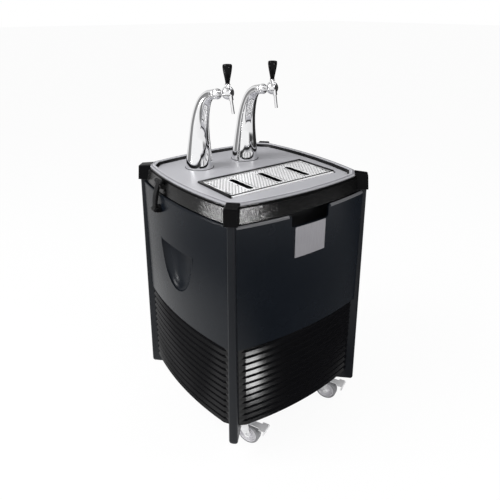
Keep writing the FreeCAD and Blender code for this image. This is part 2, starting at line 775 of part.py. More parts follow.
def base_pan():
    half, wall = PAN_HALF, PAN_WALL
    tray = box((-half, -half, PAN_BOTTOM), (half, half, PAN_BOTTOM + PAN_FLANGE))
    hollow = box((wall - half, wall - half, PAN_FLOOR),
                 (half - wall, half - wall, PAN_BOTTOM + PAN_FLANGE))
    pieces = [tray.cut(hollow)]
    for sx, sy in CASTORS.values():
        x, y = sx * CASTOR_X, sy * CASTOR_Y
        pieces.append(box((x - PAD_HALF_X, y - PAD_HALF_Y, CASTOR_TOP),
                          (x + PAD_HALF_X, y + PAD_HALF_Y, PAN_BOTTOM)))
    pan = fused(pieces)
    pan = pan.common(diagonal_limit(POST_ROOT, CASTOR_TOP, PAN_BOTTOM + PAN_FLANGE))
    for x, y in castor_bolt_places():
        pan = pan.cut(rod(BOLT_HOLE_RADIUS, (x, y, CASTOR_TOP), (x, y, PAN_FLOOR)))
    return pan


def mid_shelf():
    half = SHELF_HALF
    shelf = box((-half, -half, SHELF_BOTTOM), (half, half, SHELF_TOP))
    return shelf.common(diagonal_limit(POST_ROOT, SHELF_BOTTOM, SHELF_TOP))


# ---------------------------------------------------------------- lid
def cap_inner():
    """Centre of the cabinet to the inner face of a corner cap."""
    x, y = bow_corner(DECK_DEPTH, BOW_RADIUS, CAP_HALF_TOP)
    return -(x + y) / ROOT2 + FACE_GAP


def cap_block():
    """Space of a corner cap along +X, from the bottom of the rim up."""
    inner = cap_inner()
    outlines = []
    for z, half, tip in ((CABINET_TOP, CAP_HALF_BOTTOM, CAP_TIP_BOTTOM),
                         (CAP_TOP, CAP_HALF_TOP, CAP_TIP_TOP)):
        corners = [V(inner, -half, z), V(tip, -half, z), V(tip, half, z), V(inner, half, z)]
        outlines.append(Part.makePolygon(corners + corners[:1]))
    return Part.makeLoft(outlines, True, True)


def corner_cap():
    """A cap whose top falls towards its tip, turned to each diagonal later."""
    wide = CAP_HALF_TOP + CAP_HALF_BOTTOM
    inner, outer = cap_inner(), CAP_TIP_BOTTOM + CAP_EDGE
    slope = CAP_FALL / (CAP_TIP_TOP - inner)
    over = [(inner, CAP_TOP), (outer, CAP_TOP - slope * (outer - inner)),
            (outer, CAP_TOP + CAP_EDGE), (inner, CAP_TOP + CAP_EDGE)]
    under = box((0, -wide, CABINET_TOP), (outer, wide, CAP_BOTTOM))
    block = cap_block().cut(prism(over, -wide, wide)).cut(under)
    edges = []
    for edge in block.Edges:
        middle = edge.CenterOfMass
        at_tip = middle.x > CAP_TIP_TOP - CAP_EDGE
        on_top = middle.z > CAP_TOP - CAP_FALL - CAP_EDGE / 2
        low = middle.z < CAP_BOTTOM + CAP_EDGE / 2
        if (at_tip or on_top) and not low and middle.x > inner + CAP_EDGE / 2:
            edges.append(edge)
    return block.makeFillet(CAP_EDGE, edges)


def lid_rim():
    outer = Part.makeLoft([ring(RIM_DEPTH_BOTTOM, CABINET_TOP), ring(RIM_DEPTH_TOP, RIM_TOP)],
                          True, True)
    wall = RIM_WALL
    inner = Part.makeLoft([ring(RIM_DEPTH_BOTTOM - wall, CABINET_TOP),
                           ring(RIM_DEPTH_TOP - wall, RIM_TOP)], True, True)
    skirt = outer.cut(inner)
    low = FLANGE_TOP - FLANGE_THICK
    shelf = Part.makeLoft([ring(RIM_DEPTH_TOP - wall / 2, low),
                           ring(RIM_DEPTH_TOP - wall / 2, FLANGE_TOP)], True, True)
    hole = Part.makeLoft([ring(RIM_DEPTH_TOP - FLANGE_REACH, low),
                          ring(RIM_DEPTH_TOP - FLANGE_REACH, FLANGE_TOP)], True, True)
    rim = fused([skirt, shelf.cut(hole)])
    for angle in (45, 135, 225, 315):
        rim = rim.cut(placed(cap_block(), 0, 0, angle))
    return fused([rim] + latch_lugs())


def lug_outer():
    """Centre of the cabinet to the outer end of the latch lugs."""
    drop = RIM_DEPTH_TOP - bow_sag(LATCH_Y)
    return drop + LUG_REACH


def bow_sag(x):
    return BOW_RADIUS - math.sqrt(BOW_RADIUS ** 2 - x ** 2)


def latch_lugs():
    """Two pairs of lugs, moulded on the left and right of the rim."""
    root = RIM_DEPTH_TOP - bow_sag(LATCH_Y) - RIM_WALL / 2
    slot = LATCH_EYE_WIDTH / 2 + LATCH_GAP
    lugs = []
    for side in (-1, 1):
        for turn in (-1, 1):
            near = LATCH_Y + turn * slot
            far = LATCH_Y + turn * (slot + LUG_WIDTH)
            ys = sorted((near, far))
            outline = [
                (side * root, LUG_TOP - 2 * LUG_HEIGHT),
                (side * lug_outer(), LUG_TOP - LUG_HEIGHT),
                (side * lug_outer(), LUG_TOP),
                (side * root, LUG_TOP),
            ]
            lugs.append(prism(outline, ys[0], ys[1]))
    return lugs


def deck():
    half = CAP_HALF_TOP
    low, edge = FLANGE_TOP, LIP_EDGE
    outlines = [cut_ring(DECK_DEPTH, half, low)]
    for turn in (0.0, 30.0, 60.0, 90.0):
        rise = edge * math.sin(math.radians(turn))
        inset = edge * (1 - math.cos(math.radians(turn)))
        outlines.append(cut_ring(DECK_DEPTH - inset, half, LIP_TOP - edge + rise))
    body = Part.makeLoft(outlines, True, True)
    inside = DECK_DEPTH - LIP_WIDTH
    hollow = Part.makeLoft([cut_ring(inside - edge, half, DECK_TOP),
                            cut_ring(inside, half, LIP_TOP)], True, True)
    body = body.cut(hollow)
    long, wide = tray_outer()
    body = body.cut(box((-long - TRAY_GAP, GRID_Y - wide - TRAY_GAP, low),
                        (long + TRAY_GAP, GRID_Y + wide + TRAY_GAP, DECK_TOP)))
    for x, _ in COLUMNS.values():
        body = body.cut(rod(STUD_RADIUS + STUD_GAP, (x, COLUMN_Y, low), (x, COLUMN_Y, DECK_TOP)))
    return body


def tray_outer():
    long = GRID_LENGTH / 2 + GRID_GAP + TRAY_WALL
    wide = GRID_WIDTH / 2 + GRID_GAP + TRAY_WALL
    return long, wide


def drip_tray():
    long, wide = tray_outer()
    top = DECK_TOP + TRAY_SEAT + TRAY_FLANGE_THICK
    bottom = DECK_TOP - TRAY_DEPTH
    y = GRID_Y

    def block(grow_x, grow_y, low, high):
        return box((-grow_x, y - grow_y, low), (grow_x, y + grow_y, high))

    body = block(long, wide, bottom, top)
    flange = block(long + TRAY_FLANGE, wide + TRAY_FLANGE, DECK_TOP + TRAY_SEAT, top)
    pocket = block(long - TRAY_WALL, wide - TRAY_WALL, grid_low() - TRAY_SEAT, top)
    inset = TRAY_WALL + TRAY_LEDGE
    basin = block(long - inset, wide - inset, bottom + TRAY_WALL, top)
    drain = rod(TRAY_DRAIN_RADIUS, (0, y, bottom - TRAY_WALL), (0, y, bottom))
    bore = rod(TRAY_DRAIN_RADIUS - TRAY_WALL, (0, y, bottom - TRAY_WALL),
               (0, y, bottom + TRAY_WALL))
    return fused([body, flange, drain]).cut(pocket).cut(basin).cut(bore)


def grid_low():
    return DECK_TOP + TRAY_SEAT + TRAY_FLANGE_THICK - GRID_THICK / 2


def drip_grid():
    low = grid_low()
    half_x, half_y = GRID_LENGTH / 2, GRID_WIDTH / 2
    grid = box((-half_x, GRID_Y - half_y, low), (half_x, GRID_Y + half_y, low + GRID_THICK))
    reach = (GRID_SLOT_LENGTH - GRID_SLOT_WIDTH) / 2
    for x in GRID_SLOT_PLACES:
        slot = box((x - GRID_SLOT_WIDTH / 2, GRID_SLOT_Y - reach, low),
                   (x + GRID_SLOT_WIDTH / 2, GRID_SLOT_Y + reach, low + GRID_THICK))
        grid = grid.cut(slot)
        for y in (GRID_SLOT_Y - reach, GRID_SLOT_Y + reach):
            grid = grid.cut(rod(GRID_SLOT_WIDTH / 2, (x, y, low), (x, y, low + GRID_THICK)))
    return grid


# ---------------------------------------------------------------- columns and taps
# A column is drawn with its reach along +X and its foot at the origin, then placed.
def station_directions():
    """Tangent of the column's centre line at each station."""
    points = [V(reach, 0, height) for reach, height, _ in COLUMN_STATIONS]
    directions = [UP]
    for before, after in zip(points, points[2:]):
        directions.append((after - before).normalize())
    tilt = math.radians(SHANK_TILT)
    directions.append(V(math.cos(tilt), 0, math.sin(tilt)))
    return directions


def column_loft(shrink):
    rings = []
    for station, direction in zip(COLUMN_STATIONS, station_directions()):
        reach, height, radius = station
        circle = Part.makeCircle(radius - shrink, V(reach, 0, height), direction)
        rings.append(Part.Wire([circle]))
    return Part.makeLoft(rings, True, False)


def column():
    reach = COLUMN_STATIONS[0][2] + COLUMN_STATIONS[-1][0]
    top = COLUMN_STATIONS[-1][1] * 2
    above = box((-reach, -reach, COLUMN_FLOOR), (reach * 2, reach, top))
    body = column_loft(0.0).cut(column_loft(COLUMN_WALL).common(above))
    stud = rod(STUD_RADIUS, (0, 0, -STUD_LENGTH), (0, 0, COLUMN_FLOOR / 2))
    hole = rod(LINE_HOLE_RADIUS, (0, 0, -STUD_LENGTH), (0, 0, 2 * COLUMN_FLOOR))
    return body.fuse(stud).cut(hole)


def column_nut():
    top = -DECK_THICK - NUT_GAP
    corners = []
    for index in range(6):
        angle = math.radians(60 * index)
        corners.append((NUT_RADIUS * math.cos(angle), NUT_RADIUS * math.sin(angle)))
    nut = plate(corners, top - NUT_THICK, top)
    return nut.cut(rod(STUD_RADIUS + KNOB_BORE_GAP, (0, 0, top - NUT_THICK), (0, 0, top)))


def beer_tail():
    """Beer line from its coupling up through the column to the shank."""
    end = column_end()
    axis = shank_axis()
    stop = end - axis * SHANK_TAIL
    points = [(0, 0, tail_low() - DECK_TOP), (0, 0, COLUMN_STATIONS[2][1])]
    for index in (4, 6):
        reach, height, _ = COLUMN_STATIONS[index]
        points.append((reach, 0, height))
    knee = end - axis * (SHANK_TAIL * 2)
    points.append((knee.x, 0, knee.z))
    points.append((stop.x, 0, stop.z))
    bend = SHANK_TAIL
    return bent_tube(points, bend, TAIL_RADIUS)


def tail_low():
    return COVER_TOP + COUPLING_HEIGHT - TAIL_PLUG


def column_end():
    reach, height, _ = COLUMN_STATIONS[-1]
    return V(reach, 0, height)


def shank_axis():
    tilt = math.radians(SHANK_TILT)
    return V(math.cos(tilt), 0, math.sin(tilt))


def ball_middle():
    return column_end() + shank_axis() * TAP_REACH


def nozzle_axis():
    tilt = math.radians(NOZZLE_TILT)
    return V(math.sin(tilt), 0, -math.cos(tilt))


def nozzle_root():
    """Point on the nozzle axis level with the middle of the ball."""
    return ball_middle() + V(NOZZLE_OFFSET, 0, 0)


def collar_nut():
    r = COLLAR_RADIUS
    length = COLLAR_LENGTH
    bore = SHANK_RADIUS + KNOB_BORE_GAP
    profile = [
        (bore, 0), (r - 1.5, 0), (r, 1.5), (r, length * 0.42), (r - 2.0, length * 0.46),
        (r - 2.0, length * 0.54), (r + 1.2, length * 0.60), (r + 1.2, length * 0.78),
        (r - 3.0, length), (bore, length),
    ]
    start = column_end() + shank_axis() * COLLAR_START
    return aimed(turned(profile), start, shank_axis())


def trunnion(radius, gap):
    """Pins on both sides of the valve that it turns on."""
    middle = ball_middle()
    side = V(0, VALVE_RADIUS + TRUNNION_REACH + gap, 0)
    return rod(radius, middle - side, middle + side)


def tap_body():
    middle = ball_middle()
    axis = shank_axis()
    down = nozzle_axis()
    root = nozzle_root()
    start = column_end() - axis * (SHANK_TAIL - KNOB_BORE_GAP)
    front = middle + axis * (BALL_RADIUS + BONNET_LENGTH)
    body = Part.makeSphere(BALL_RADIUS, middle)
    boss_end = root + down * (NOZZLE_START + NOZZLE_BOSS_LENGTH)
    body = fused([
        body,
        rod(SHANK_RADIUS, start, middle),
        rod(BONNET_RADIUS, middle, front),
        rod(NOZZLE_BOSS_RADIUS, root, boss_end),
    ])
    cavity = Part.makeSphere(VALVE_RADIUS + VALVE_GAP, middle)
    body = body.cut(cavity)
    body = body.cut(trunnion(TRUNNION_RADIUS + RUN_GAP, SIDE_GAP))
    body = body.cut(rod(SHANK_BORE, start, middle))
    body = body.cut(rod(NOZZLE_RADIUS + KNOB_BORE_GAP, root + down * NOZZLE_START, boss_end))
    body = body.cut(rod(NOZZLE_BORE, root, boss_end))
    return body.cut(lever_slot())


def lever_slot():
    """Fan-shaped slot that the stem swings in."""
    middle = ball_middle()
    half = LEVER_RADIUS + LEVER_SLOT_GAP
    spare = math.degrees(math.asin(half / (VALVE_RADIUS + VALVE_GAP)))
    reach = 2 * BALL_RADIUS
    corners = [(middle.x, middle.z)]
    steps = 4
    first, last = 90.0 + spare, 90.0 - LEVER_SWING - spare
    for index in range(steps + 1):
        angle = math.radians(first + (last - first) * index / steps)
        corners.append((middle.x + reach * math.cos(angle), middle.z + reach * math.sin(angle)))
    return prism(corners, -half, half)


def nozzle():
    down = nozzle_axis()
    start = nozzle_root() + down * NOZZLE_START
    end = nozzle_root() + down * NOZZLE_LENGTH
    return pipe(NOZZLE_RADIUS, NOZZLE_BORE, start, end)


def tap_lever():
    middle = ball_middle()
    valve = Part.makeSphere(VALVE_RADIUS, middle)
    stem = rod(LEVER_RADIUS, middle, middle + UP * LEVER_LENGTH)
    low = BALL_RADIUS + LEVER_COLLAR_RISE
    collar = rod(LEVER_COLLAR_RADIUS, middle + UP * low, middle + UP * (KNOB_START - VALVE_GAP))
    flow = math.radians(SHANK_TILT - LEVER_SWING)
    through = V(math.cos(flow), 0, math.sin(flow)) * VALVE_RADIUS
    port = rod(SHANK_BORE, middle - through, middle + through)
    return fused([valve, stem, collar, trunnion(TRUNNION_RADIUS, 0.0)]).cut(port)


def tap_knob():
    length, wide, neck = KNOB_LENGTH, KNOB_RADIUS, KNOB_NECK
    curve = Part.BSplineCurve()
    curve.interpolate([
        V(neck, 0, 0),
        V(neck + 0.8, 0, length * 0.10),
        V(wide * 0.72, 0, length * 0.38),
        V(wide * 0.93, 0, length * 0.68),
        V(wide, 0, length * 0.86),
        V(wide * 0.93, 0, length * 0.955),
        V(wide * 0.62, 0, length * 0.995),
    ])
    top = V(0, 0, length)
    edges = [
        Part.LineSegment(V(0, 0, 0), V(neck, 0, 0)).toShape(),
        curve.toShape(),
        Part.LineSegment(V(wide * 0.62, 0, length * 0.995), top).toShape(),
        Part.LineSegment(top, V(0, 0, 0)).toShape(),
    ]
    face = Part.Face(Part.Wire(edges))
    knob = face.revolve(V(0, 0, 0), UP, 360)
    depth = LEVER_LENGTH - KNOB_START + VALVE_GAP
    knob = knob.cut(rod(LEVER_RADIUS + KNOB_BORE_GAP, (0, 0, 0), (0, 0, depth)))
    return aimed(knob, ball_middle() + UP * KNOB_START, UP)


# ---------------------------------------------------------------- water bath
def coil_places():
    """Middle of each beer coil; its outlet rises under its column."""
    return {name: x + COIL_RADIUS for name, (x, _) in COLUMNS.items()}


def coil_slope():
    return math.atan(COIL_PITCH / (2 * math.pi * COIL_RADIUS))


def coil_top():
    return COIL_BOTTOM + COIL_PITCH * COIL_TURNS


def inlet_places():
    """Where each coil's lower lead meets its fitting, as x and z."""
    run = RECESS_FLOOR - COIL_Y
    drop = run * math.tan(coil_slope())
    return [(x + COIL_RADIUS, COIL_BOTTOM - drop) for x in coil_places().values()]


def helix(radius, pitch, turns, tube):
    """A left-handed coil that starts at +X and climbs."""
    path = Part.makeHelix(pitch, pitch * turns, radius)
    slope = math.atan(pitch / (2 * math.pi * radius))
    tangent = V(0, math.cos(slope), math.sin(slope))
    circle = Part.makeCircle(tube, V(radius, 0, 0), tangent)
    body = Part.Wire(path.Edges).makePipeShell([Part.Wire([circle])], True, True)
    return body.mirror(V(0, 0, 0), V(0, 1, 0))


def beer_coil(middle_x):
    coil = helix(COIL_RADIUS, COIL_PITCH, COIL_TURNS, COIL_TUBE)
    coil.translate(V(middle_x, COIL_Y, COIL_BOTTOM))
    inlet = coil_lead(middle_x, RECESS_FLOOR - FITTING_IN / 2, COIL_TUBE)
    high = V(middle_x - COIL_RADIUS, COIL_Y, coil_top())
    ahead = COLUMN_Y - COIL_Y
    knee = high + V(0, ahead, ahead * math.tan(coil_slope()))
    end = V(knee.x, knee.y, COVER_TOP)
    riser = bent_tube([high, knee, end], COIL_RISE_BEND, COIL_TUBE)
    return fused([coil, inlet, riser])


def coil_lead(middle_x, y, radius):
    """Straight lead from the lower end of a coil to a distance from the centre."""
    low = V(middle_x + COIL_RADIUS, COIL_Y, COIL_BOTTOM)
    run = y - COIL_Y
    return rod(radius, low, low + V(0, run, -run * math.tan(coil_slope())))


def lead_holes():
    """Cutters for the coil leads through the tank and the insulation."""
    radius = COIL_TUBE + TUBE_GAP
    return [coil_lead(x, FOAM_HALF + FITTING_OUT, radius) for x in coil_places().values()]


def drain_hole(radius):
    return rod(radius, (DRAIN_X, TANK_HALF - FOAM_WALL, DRAIN_Z),
               (DRAIN_X, FOAM_HALF + FITTING_OUT, DRAIN_Z))


def bath_insulation():
    half, inner = FOAM_HALF, FOAM_HALF - FOAM_WALL
    block = box((-half, -half, SHELF_TOP), (half, half, FOAM_TOP))
    block = block.common(diagonal_limit(POST_ROOT - FACE_GAP, SHELF_TOP, FOAM_TOP))
    block = block.cut(box((-inner, -inner, SHELF_TOP + FOAM_FLOOR), (inner, inner, FOAM_TOP)))
    for cutter in lead_holes():
        block = block.cut(cutter)
    return block.cut(drain_hole(DRAIN_SPIGOT_RADIUS + TUBE_GAP))


def bath_tank():
    half, wall = TANK_HALF, TANK_WALL
    tub = box((-half, -half, TANK_FLOOR), (half, half, FOAM_TOP + wall))
    rim = half + TANK_FLANGE
    flange = box((-rim, -rim, FOAM_TOP), (rim, rim, FOAM_TOP + wall))
    hollow = box((wall - half, wall - half, TANK_FLOOR + wall),
                 (half - wall, half - wall, FOAM_TOP + wall))
    tub = fused([tub, flange]).cut(hollow)
    for cutter in lead_holes():
        tub = tub.cut(cutter)
    return tub.cut(drain_hole(DRAIN_BORE))


def bath_cover():
    half = FOAM_HALF
    cover = box((-half, -half, COVER_BOTTOM), (half, half, COVER_TOP))
    cover = cover.common(diagonal_limit(POST_ROOT - FACE_GAP, COVER_BOTTOM, COVER_TOP))
    for x, _ in COLUMNS.values():
        cover = cover.cut(rod(COIL_TUBE + TUBE_GAP, (x, COLUMN_Y, COVER_BOTTOM),
                              (x, COLUMN_Y, COVER_TOP)))
    return cover.cut(rod(AGITATOR_SHAFT_RADIUS * 2, (AGITATOR_X, AGITATOR_Y, COVER_BOTTOM),
                         (AGITATOR_X, AGITATOR_Y, COVER_TOP)))


def evaporator_coil():
    """Square turns with rounded corners that climb along the walls of the tank."""
    half = TANK_HALF - TANK_WALL - EVAPORATOR_GAP - EVAPORATOR_TUBE
    corners = ((half, -half), (half, half), (-half, half), (-half, -half))
    points = [(0, -half, EVAPORATOR_BOTTOM)]
    for side in range(4 * EVAPORATOR_TURNS):
        x, y = corners[side % 4]
        points.append((x, y, EVAPORATOR_BOTTOM + EVAPORATOR_PITCH * (side + 0.5) / 4))
    points.append((0, -half, EVAPORATOR_BOTTOM + EVAPORATOR_PITCH * EVAPORATOR_TURNS))
    return bent_tube(points, EVAPORATOR_BEND, EVAPORATOR_TUBE)


def line_coupling(x):
    """Push-in socket on the cover, over the end of a coil."""
    base = COVER_TOP
    top = base + COUPLING_HEIGHT
    body = rod(COUPLING_RADIUS, (x, COLUMN_Y, base), (x, COLUMN_Y, top))
    socket = rod(TAIL_RADIUS + TUBE_GAP, (x, COLUMN_Y, top - COUPLING_DEPTH), (x, COLUMN_Y, top))
    passage = rod(SHANK_BORE, (x, COLUMN_Y, base), (x, COLUMN_Y, top))
    return body.cut(socket).cut(passage)


def agitator_motor():
    base = COVER_TOP
    x, y = AGITATOR_X, AGITATOR_Y
    r, h = AGITATOR_MOTOR_RADIUS, AGITATOR_MOTOR_HEIGHT
    bore = AGITATOR_SHAFT_RADIUS + SHAFT_GAP
    deep = h * 0.6
    profile = [(bore, 0), (r + 6, 0), (r + 6, 4), (r, 4), (r, h - 5), (r - 5, h), (0, h),
               (0, deep), (bore, deep)]
    motor = turned(profile)
    motor.translate(V(x, y, base))
    return motor


def agitator_shaft():
    x, y = AGITATOR_X, AGITATOR_Y
    top = COVER_TOP + AGITATOR_MOTOR_HEIGHT * 0.6 - SIDE_GAP
    low = top - AGITATOR_LENGTH
    pieces = [rod(AGITATOR_SHAFT_RADIUS, (x, y, low), (x, y, top))]
    pieces.append(rod(AGITATOR_SHAFT_RADIUS * 2.2, (x, y, low), (x, y, low + 12)))
    for turn in (0, 120, 240):
        blade = box((0, -1.2, -6), (IMPELLER_RADIUS, 1.2, 6))
        blade.rotate(V(0, 0, 0), FORWARD, 35)
        blade = placed(blade, x, y, turn, low + 6)
        pieces.append(blade)
    return fused(pieces)


# ---------------------------------------------------------------- rear fittings
def beer_inlet(x, z):
    """Bulkhead fitting: push-in bore outside, coil lead inside."""
    floor = RECESS_FLOOR
    inner = floor - RECESS_WALL - FITTING_IN
    outer = floor + FITTING_OUT
    body = rod(FITTING_RADIUS, (x, inner, z), (x, outer, z))
    flange = rod(FITTING_FLANGE_RADIUS, (x, floor, z), (x, floor + FITTING_FLANGE, z))
    body = fused([body, flange])
    body = body.cut(rod(INLET_BORE, (x, outer - INLET_BORE_LENGTH, z), (x, outer, z)))
    body = body.cut(rod(SHANK_BORE, (x, floor - RECESS_WALL, z), (x, outer, z)))
    return body


def beer_inlets():
    fittings = []
    for middle_x, (x, z) in zip(coil_places().values(), inlet_places()):
        lead = coil_lead(middle_x, RECESS_FLOOR, COIL_TUBE + TUBE_GAP)
        fittings.append(beer_inlet(x, z).cut(lead))
    return fittings


def drain_spigot():
    x, z, floor = DRAIN_X, DRAIN_Z, RECESS_FLOOR
    wall = TANK_HALF
    pieces = [
        rod(DRAIN_SPIGOT_RADIUS, (x, wall, z), (x, floor + DRAIN_SPIGOT_LENGTH, z)),
        rod(FITTING_FLANGE_RADIUS, (x, floor, z), (x, floor + FITTING_FLANGE, z)),
    ]
    bore = rod(DRAIN_BORE, (x, wall, z), (x, floor + DRAIN_SPIGOT_LENGTH, z))
    return fused(pieces).cut(bore)


def power_inlet():
    """Recessed three-pin mains inlet with a bezel."""
    x, z = POWER_X, (RECESS_LOW + RECESS_HIGH) / 2
    floor = RECESS_FLOOR
    half_w, half_h = POWER_WIDTH / 2, POWER_HEIGHT / 2
    bezel = box((x - half_w - POWER_BEZEL, floor, z - half_h - POWER_BEZEL),
                (x + half_w + POWER_BEZEL, floor + POWER_BEZEL, z + half_h + POWER_BEZEL))
    body = box((x - half_w, floor - FITTING_OUT, z - half_h), (x + half_w, floor, z + half_h))
    wall = POWER_BEZEL / 2
    mouth = box((x - half_w + wall, floor - FITTING_IN, z - half_h + wall),
                (x + half_w - wall, floor + POWER_BEZEL, z + half_h - wall))
    inlet = fused([bezel, body]).cut(mouth)
    for dx, dz in ((-7.0, 2.0), (0.0, -2.0), (7.0, 2.0)):
        pin = box((x + dx - 1, floor - FITTING_IN, z + dz - 2), (x + dx + 1, floor, z + dz + 2))
        inlet = inlet.fuse(pin)
    return inlet


def fitting_holes():
    """Cutters for the fittings, in the frame of the finished cabinet."""
    floor = RECESS_FLOOR
    cutters = []
    for x, z in inlet_places():
        cutters.append(rod(FITTING_RADIUS + TUBE_GAP, (x, floor - 2 * FITTING_IN, z),
                           (x, floor, z)))
    cutters.append(rod(DRAIN_SPIGOT_RADIUS + TUBE_GAP, (DRAIN_X, floor - 2 * FITTING_IN, DRAIN_Z),
                       (DRAIN_X, floor, DRAIN_Z)))
    z = (RECESS_LOW + RECESS_HIGH) / 2
    half_w, half_h = POWER_WIDTH / 2 + TUBE_GAP, POWER_HEIGHT / 2 + TUBE_GAP
    cutters.append(box((POWER_X - half_w, floor - 2 * FITTING_IN, z - half_h),
                       (POWER_X + half_w, floor, z + half_h)))
    return cutters


# ---------------------------------------------------------------- refrigeration unit
def compressor():
    r, h, foot = COMPRESSOR_RADIUS, COMPRESSOR_HEIGHT, COMPRESSOR_FOOT
    profile = [(0, foot), (r - 22, foot), (r - 6, foot + 12), (r, foot + 32), (r, h - 34),
               (r - 8, h - 14), (r - 28, h), (0, h)]
    pieces = [turned(profile)]
    pieces.append(box((-r, -r * 0.62, foot), (r, r * 0.62, foot + 4)))
    for sx in (-1, 1):
        for sy in (-1, 1):
            x, y = sx * (r - 9), sy * (r * 0.62 - 9)
            pieces.append(rod(8, (x, y, 0), (x, y, foot)))
    return placed(fused(pieces), COMPRESSOR_X, COMPRESSOR_Y, 0, PAN_FLOOR)


def condenser():
    low, high = PAN_FLOOR, PAN_FLOOR + CONDENSER_HEIGHT
    near, far = CONDENSER_Y - CONDENSER_THICK / 2, CONDENSER_Y + CONDENSER_THICK / 2
    pieces = []
    step = 2 * CONDENSER_HALF / (CONDENSER_FINS - 1)
    for index in range(CONDENSER_FINS):
        x = -CONDENSER_HALF + index * step
        thick = FIN_THICK * (1.5 if index in (0, CONDENSER_FINS - 1) else 1.0)
        bottom = low if index in (0, CONDENSER_FINS - 1) else low + 6
        pieces.append(box((x - thick / 2, near, bottom), (x + thick / 2, far, high)))
    rows = 5
    for row in range(rows):
        z = low + CONDENSER_HEIGHT * (row + 0.5) / rows
        for y in (CONDENSER_Y - CONDENSER_THICK / 4, CONDENSER_Y + CONDENSER_THICK / 4):
            pieces.append(rod(CONDENSER_TUBE, (-CONDENSER_HALF - 6, y, z),
                              (CONDENSER_HALF + 6, y, z)))
    return fused(pieces)


def fan_start():
    return CONDENSER_Y + CONDENSER_THICK / 2 + FAN_SETBACK


def fan_height():
    return PAN_FLOOR + CONDENSER_HEIGHT / 2


def fan_blade():
    y, z = fan_start(), fan_height()
    wall = FAN_BLADE_WALL / 2
    chord = 0.85 * FAN_DEPTH / 2 / math.sin(math.radians(FAN_BLADE_PITCH))
    pieces = [rod(FAN_HUB_RADIUS, (0, 0, 0), (0, FAN_DEPTH, 0))]
    for index in range(FAN_BLADES):
        blade = box((FAN_HUB_RADIUS - 3, -wall, -chord), (FAN_RADIUS, wall, chord))
        blade.rotate(V(0, 0, 0), FORWARD, FAN_BLADE_PITCH)
        blade.translate(V(0, FAN_DEPTH / 2, 0))
        blade.rotate(V(0, 0, 0), V(0, 1, 0), 360.0 * index / FAN_BLADES)
        pieces.append(blade)
    fan = fused(pieces).cut(rod(FAN_SHAFT_RADIUS, (0, 0, 0), (0, FAN_DEPTH, 0)))
    shaft = rod(FAN_SHAFT_RADIUS, (0, 0, 0), (0, FAN_DEPTH + FAN_SETBACK * 2, 0))
    fan = fan.fuse(shaft)
    fan.translate(V(0, y, z))
    return fan


def fan_motor():
    y, z = fan_start() + FAN_DEPTH + FAN_SETBACK / 2, fan_height()
    end = y + FAN_MOTOR_LENGTH
    body = rod(FAN_MOTOR_RADIUS, (0, y, z), (0, end, z))
    leg = box((-FAN_MOTOR_RADIUS * 0.7, y + 8, PAN_FLOOR), (FAN_MOTOR_RADIUS * 0.7, y + 12, z))
    foot = box((-FAN_MOTOR_RADIUS, y + 8, PAN_FLOOR), (FAN_MOTOR_RADIUS, end, PAN_FLOOR + 4))
    bore = rod(FAN_SHAFT_RADIUS + SHAFT_GAP, (0, y, z), (0, y + FAN_SETBACK * 2, z))
    return fused([body, leg, foot]).cut(bore)


def control_box():
    return box((CONTROL_X - CONTROL_WIDTH / 2, CONTROL_Y - CONTROL_DEPTH / 2, PAN_FLOOR),
               (CONTROL_X + CONTROL_WIDTH / 2, CONTROL_Y + CONTROL_DEPTH / 2,
                PAN_FLOOR + CONTROL_HEIGHT))


# ---------------------------------------------------------------- latches
def latch_pin():
    """Outward distance and height of the pin that a strap turns on."""
    out = face_depth(LATCH_PIN_Z) - bow_sag(LATCH_Y) + LATCH_PIN_OUT
    return out, LATCH_PIN_Z


def latch_anchor(side):
    out, z = latch_pin()
    root = out - LATCH_PIN_OUT - PANEL_WALL / 3
    slot = LATCH_EYE_WIDTH / 2 + SIDE_GAP
    reach = LATCH_EYE_RADIUS
    pieces = []
    for turn in (-1, 1):
        ys = sorted((LATCH_Y + turn * slot, LATCH_Y + turn * (slot + LATCH_EAR)))
        outline = [(side * root, z - reach), (side * out, z - reach * 0.8),
                   (side * (out + reach * 0.7), z), (side * out, z + reach * 0.8),
                   (side * root, z + reach)]
        pieces.append(prism(outline, ys[0], ys[1]))
    wide = slot + LATCH_EAR
    back = out - LATCH_EYE_RADIUS - LATCH_GAP
    xs = sorted((side * root, side * back))
    pieces.append(box((xs[0], LATCH_Y - wide, z - reach), (xs[1], LATCH_Y + wide, z + reach)))
    pieces.append(rod(LATCH_PIN_RADIUS, (side * out, LATCH_Y - wide, z),
                      (side * out, LATCH_Y + wide, z)))
    return fused(pieces).cut(panel_skin(side))


def panel_skin(side):
    """The side panel's volume near a latch, so that an anchor ends on its face."""
    reach = 2 * LATCH_EYE_RADIUS
    skin = wall_between(LATCH_PIN_Z - reach, LATCH_PIN_Z + reach, PANEL_WALL * 2)
    return placed(skin, 0, 0, RIGHT if side > 0 else LEFT)


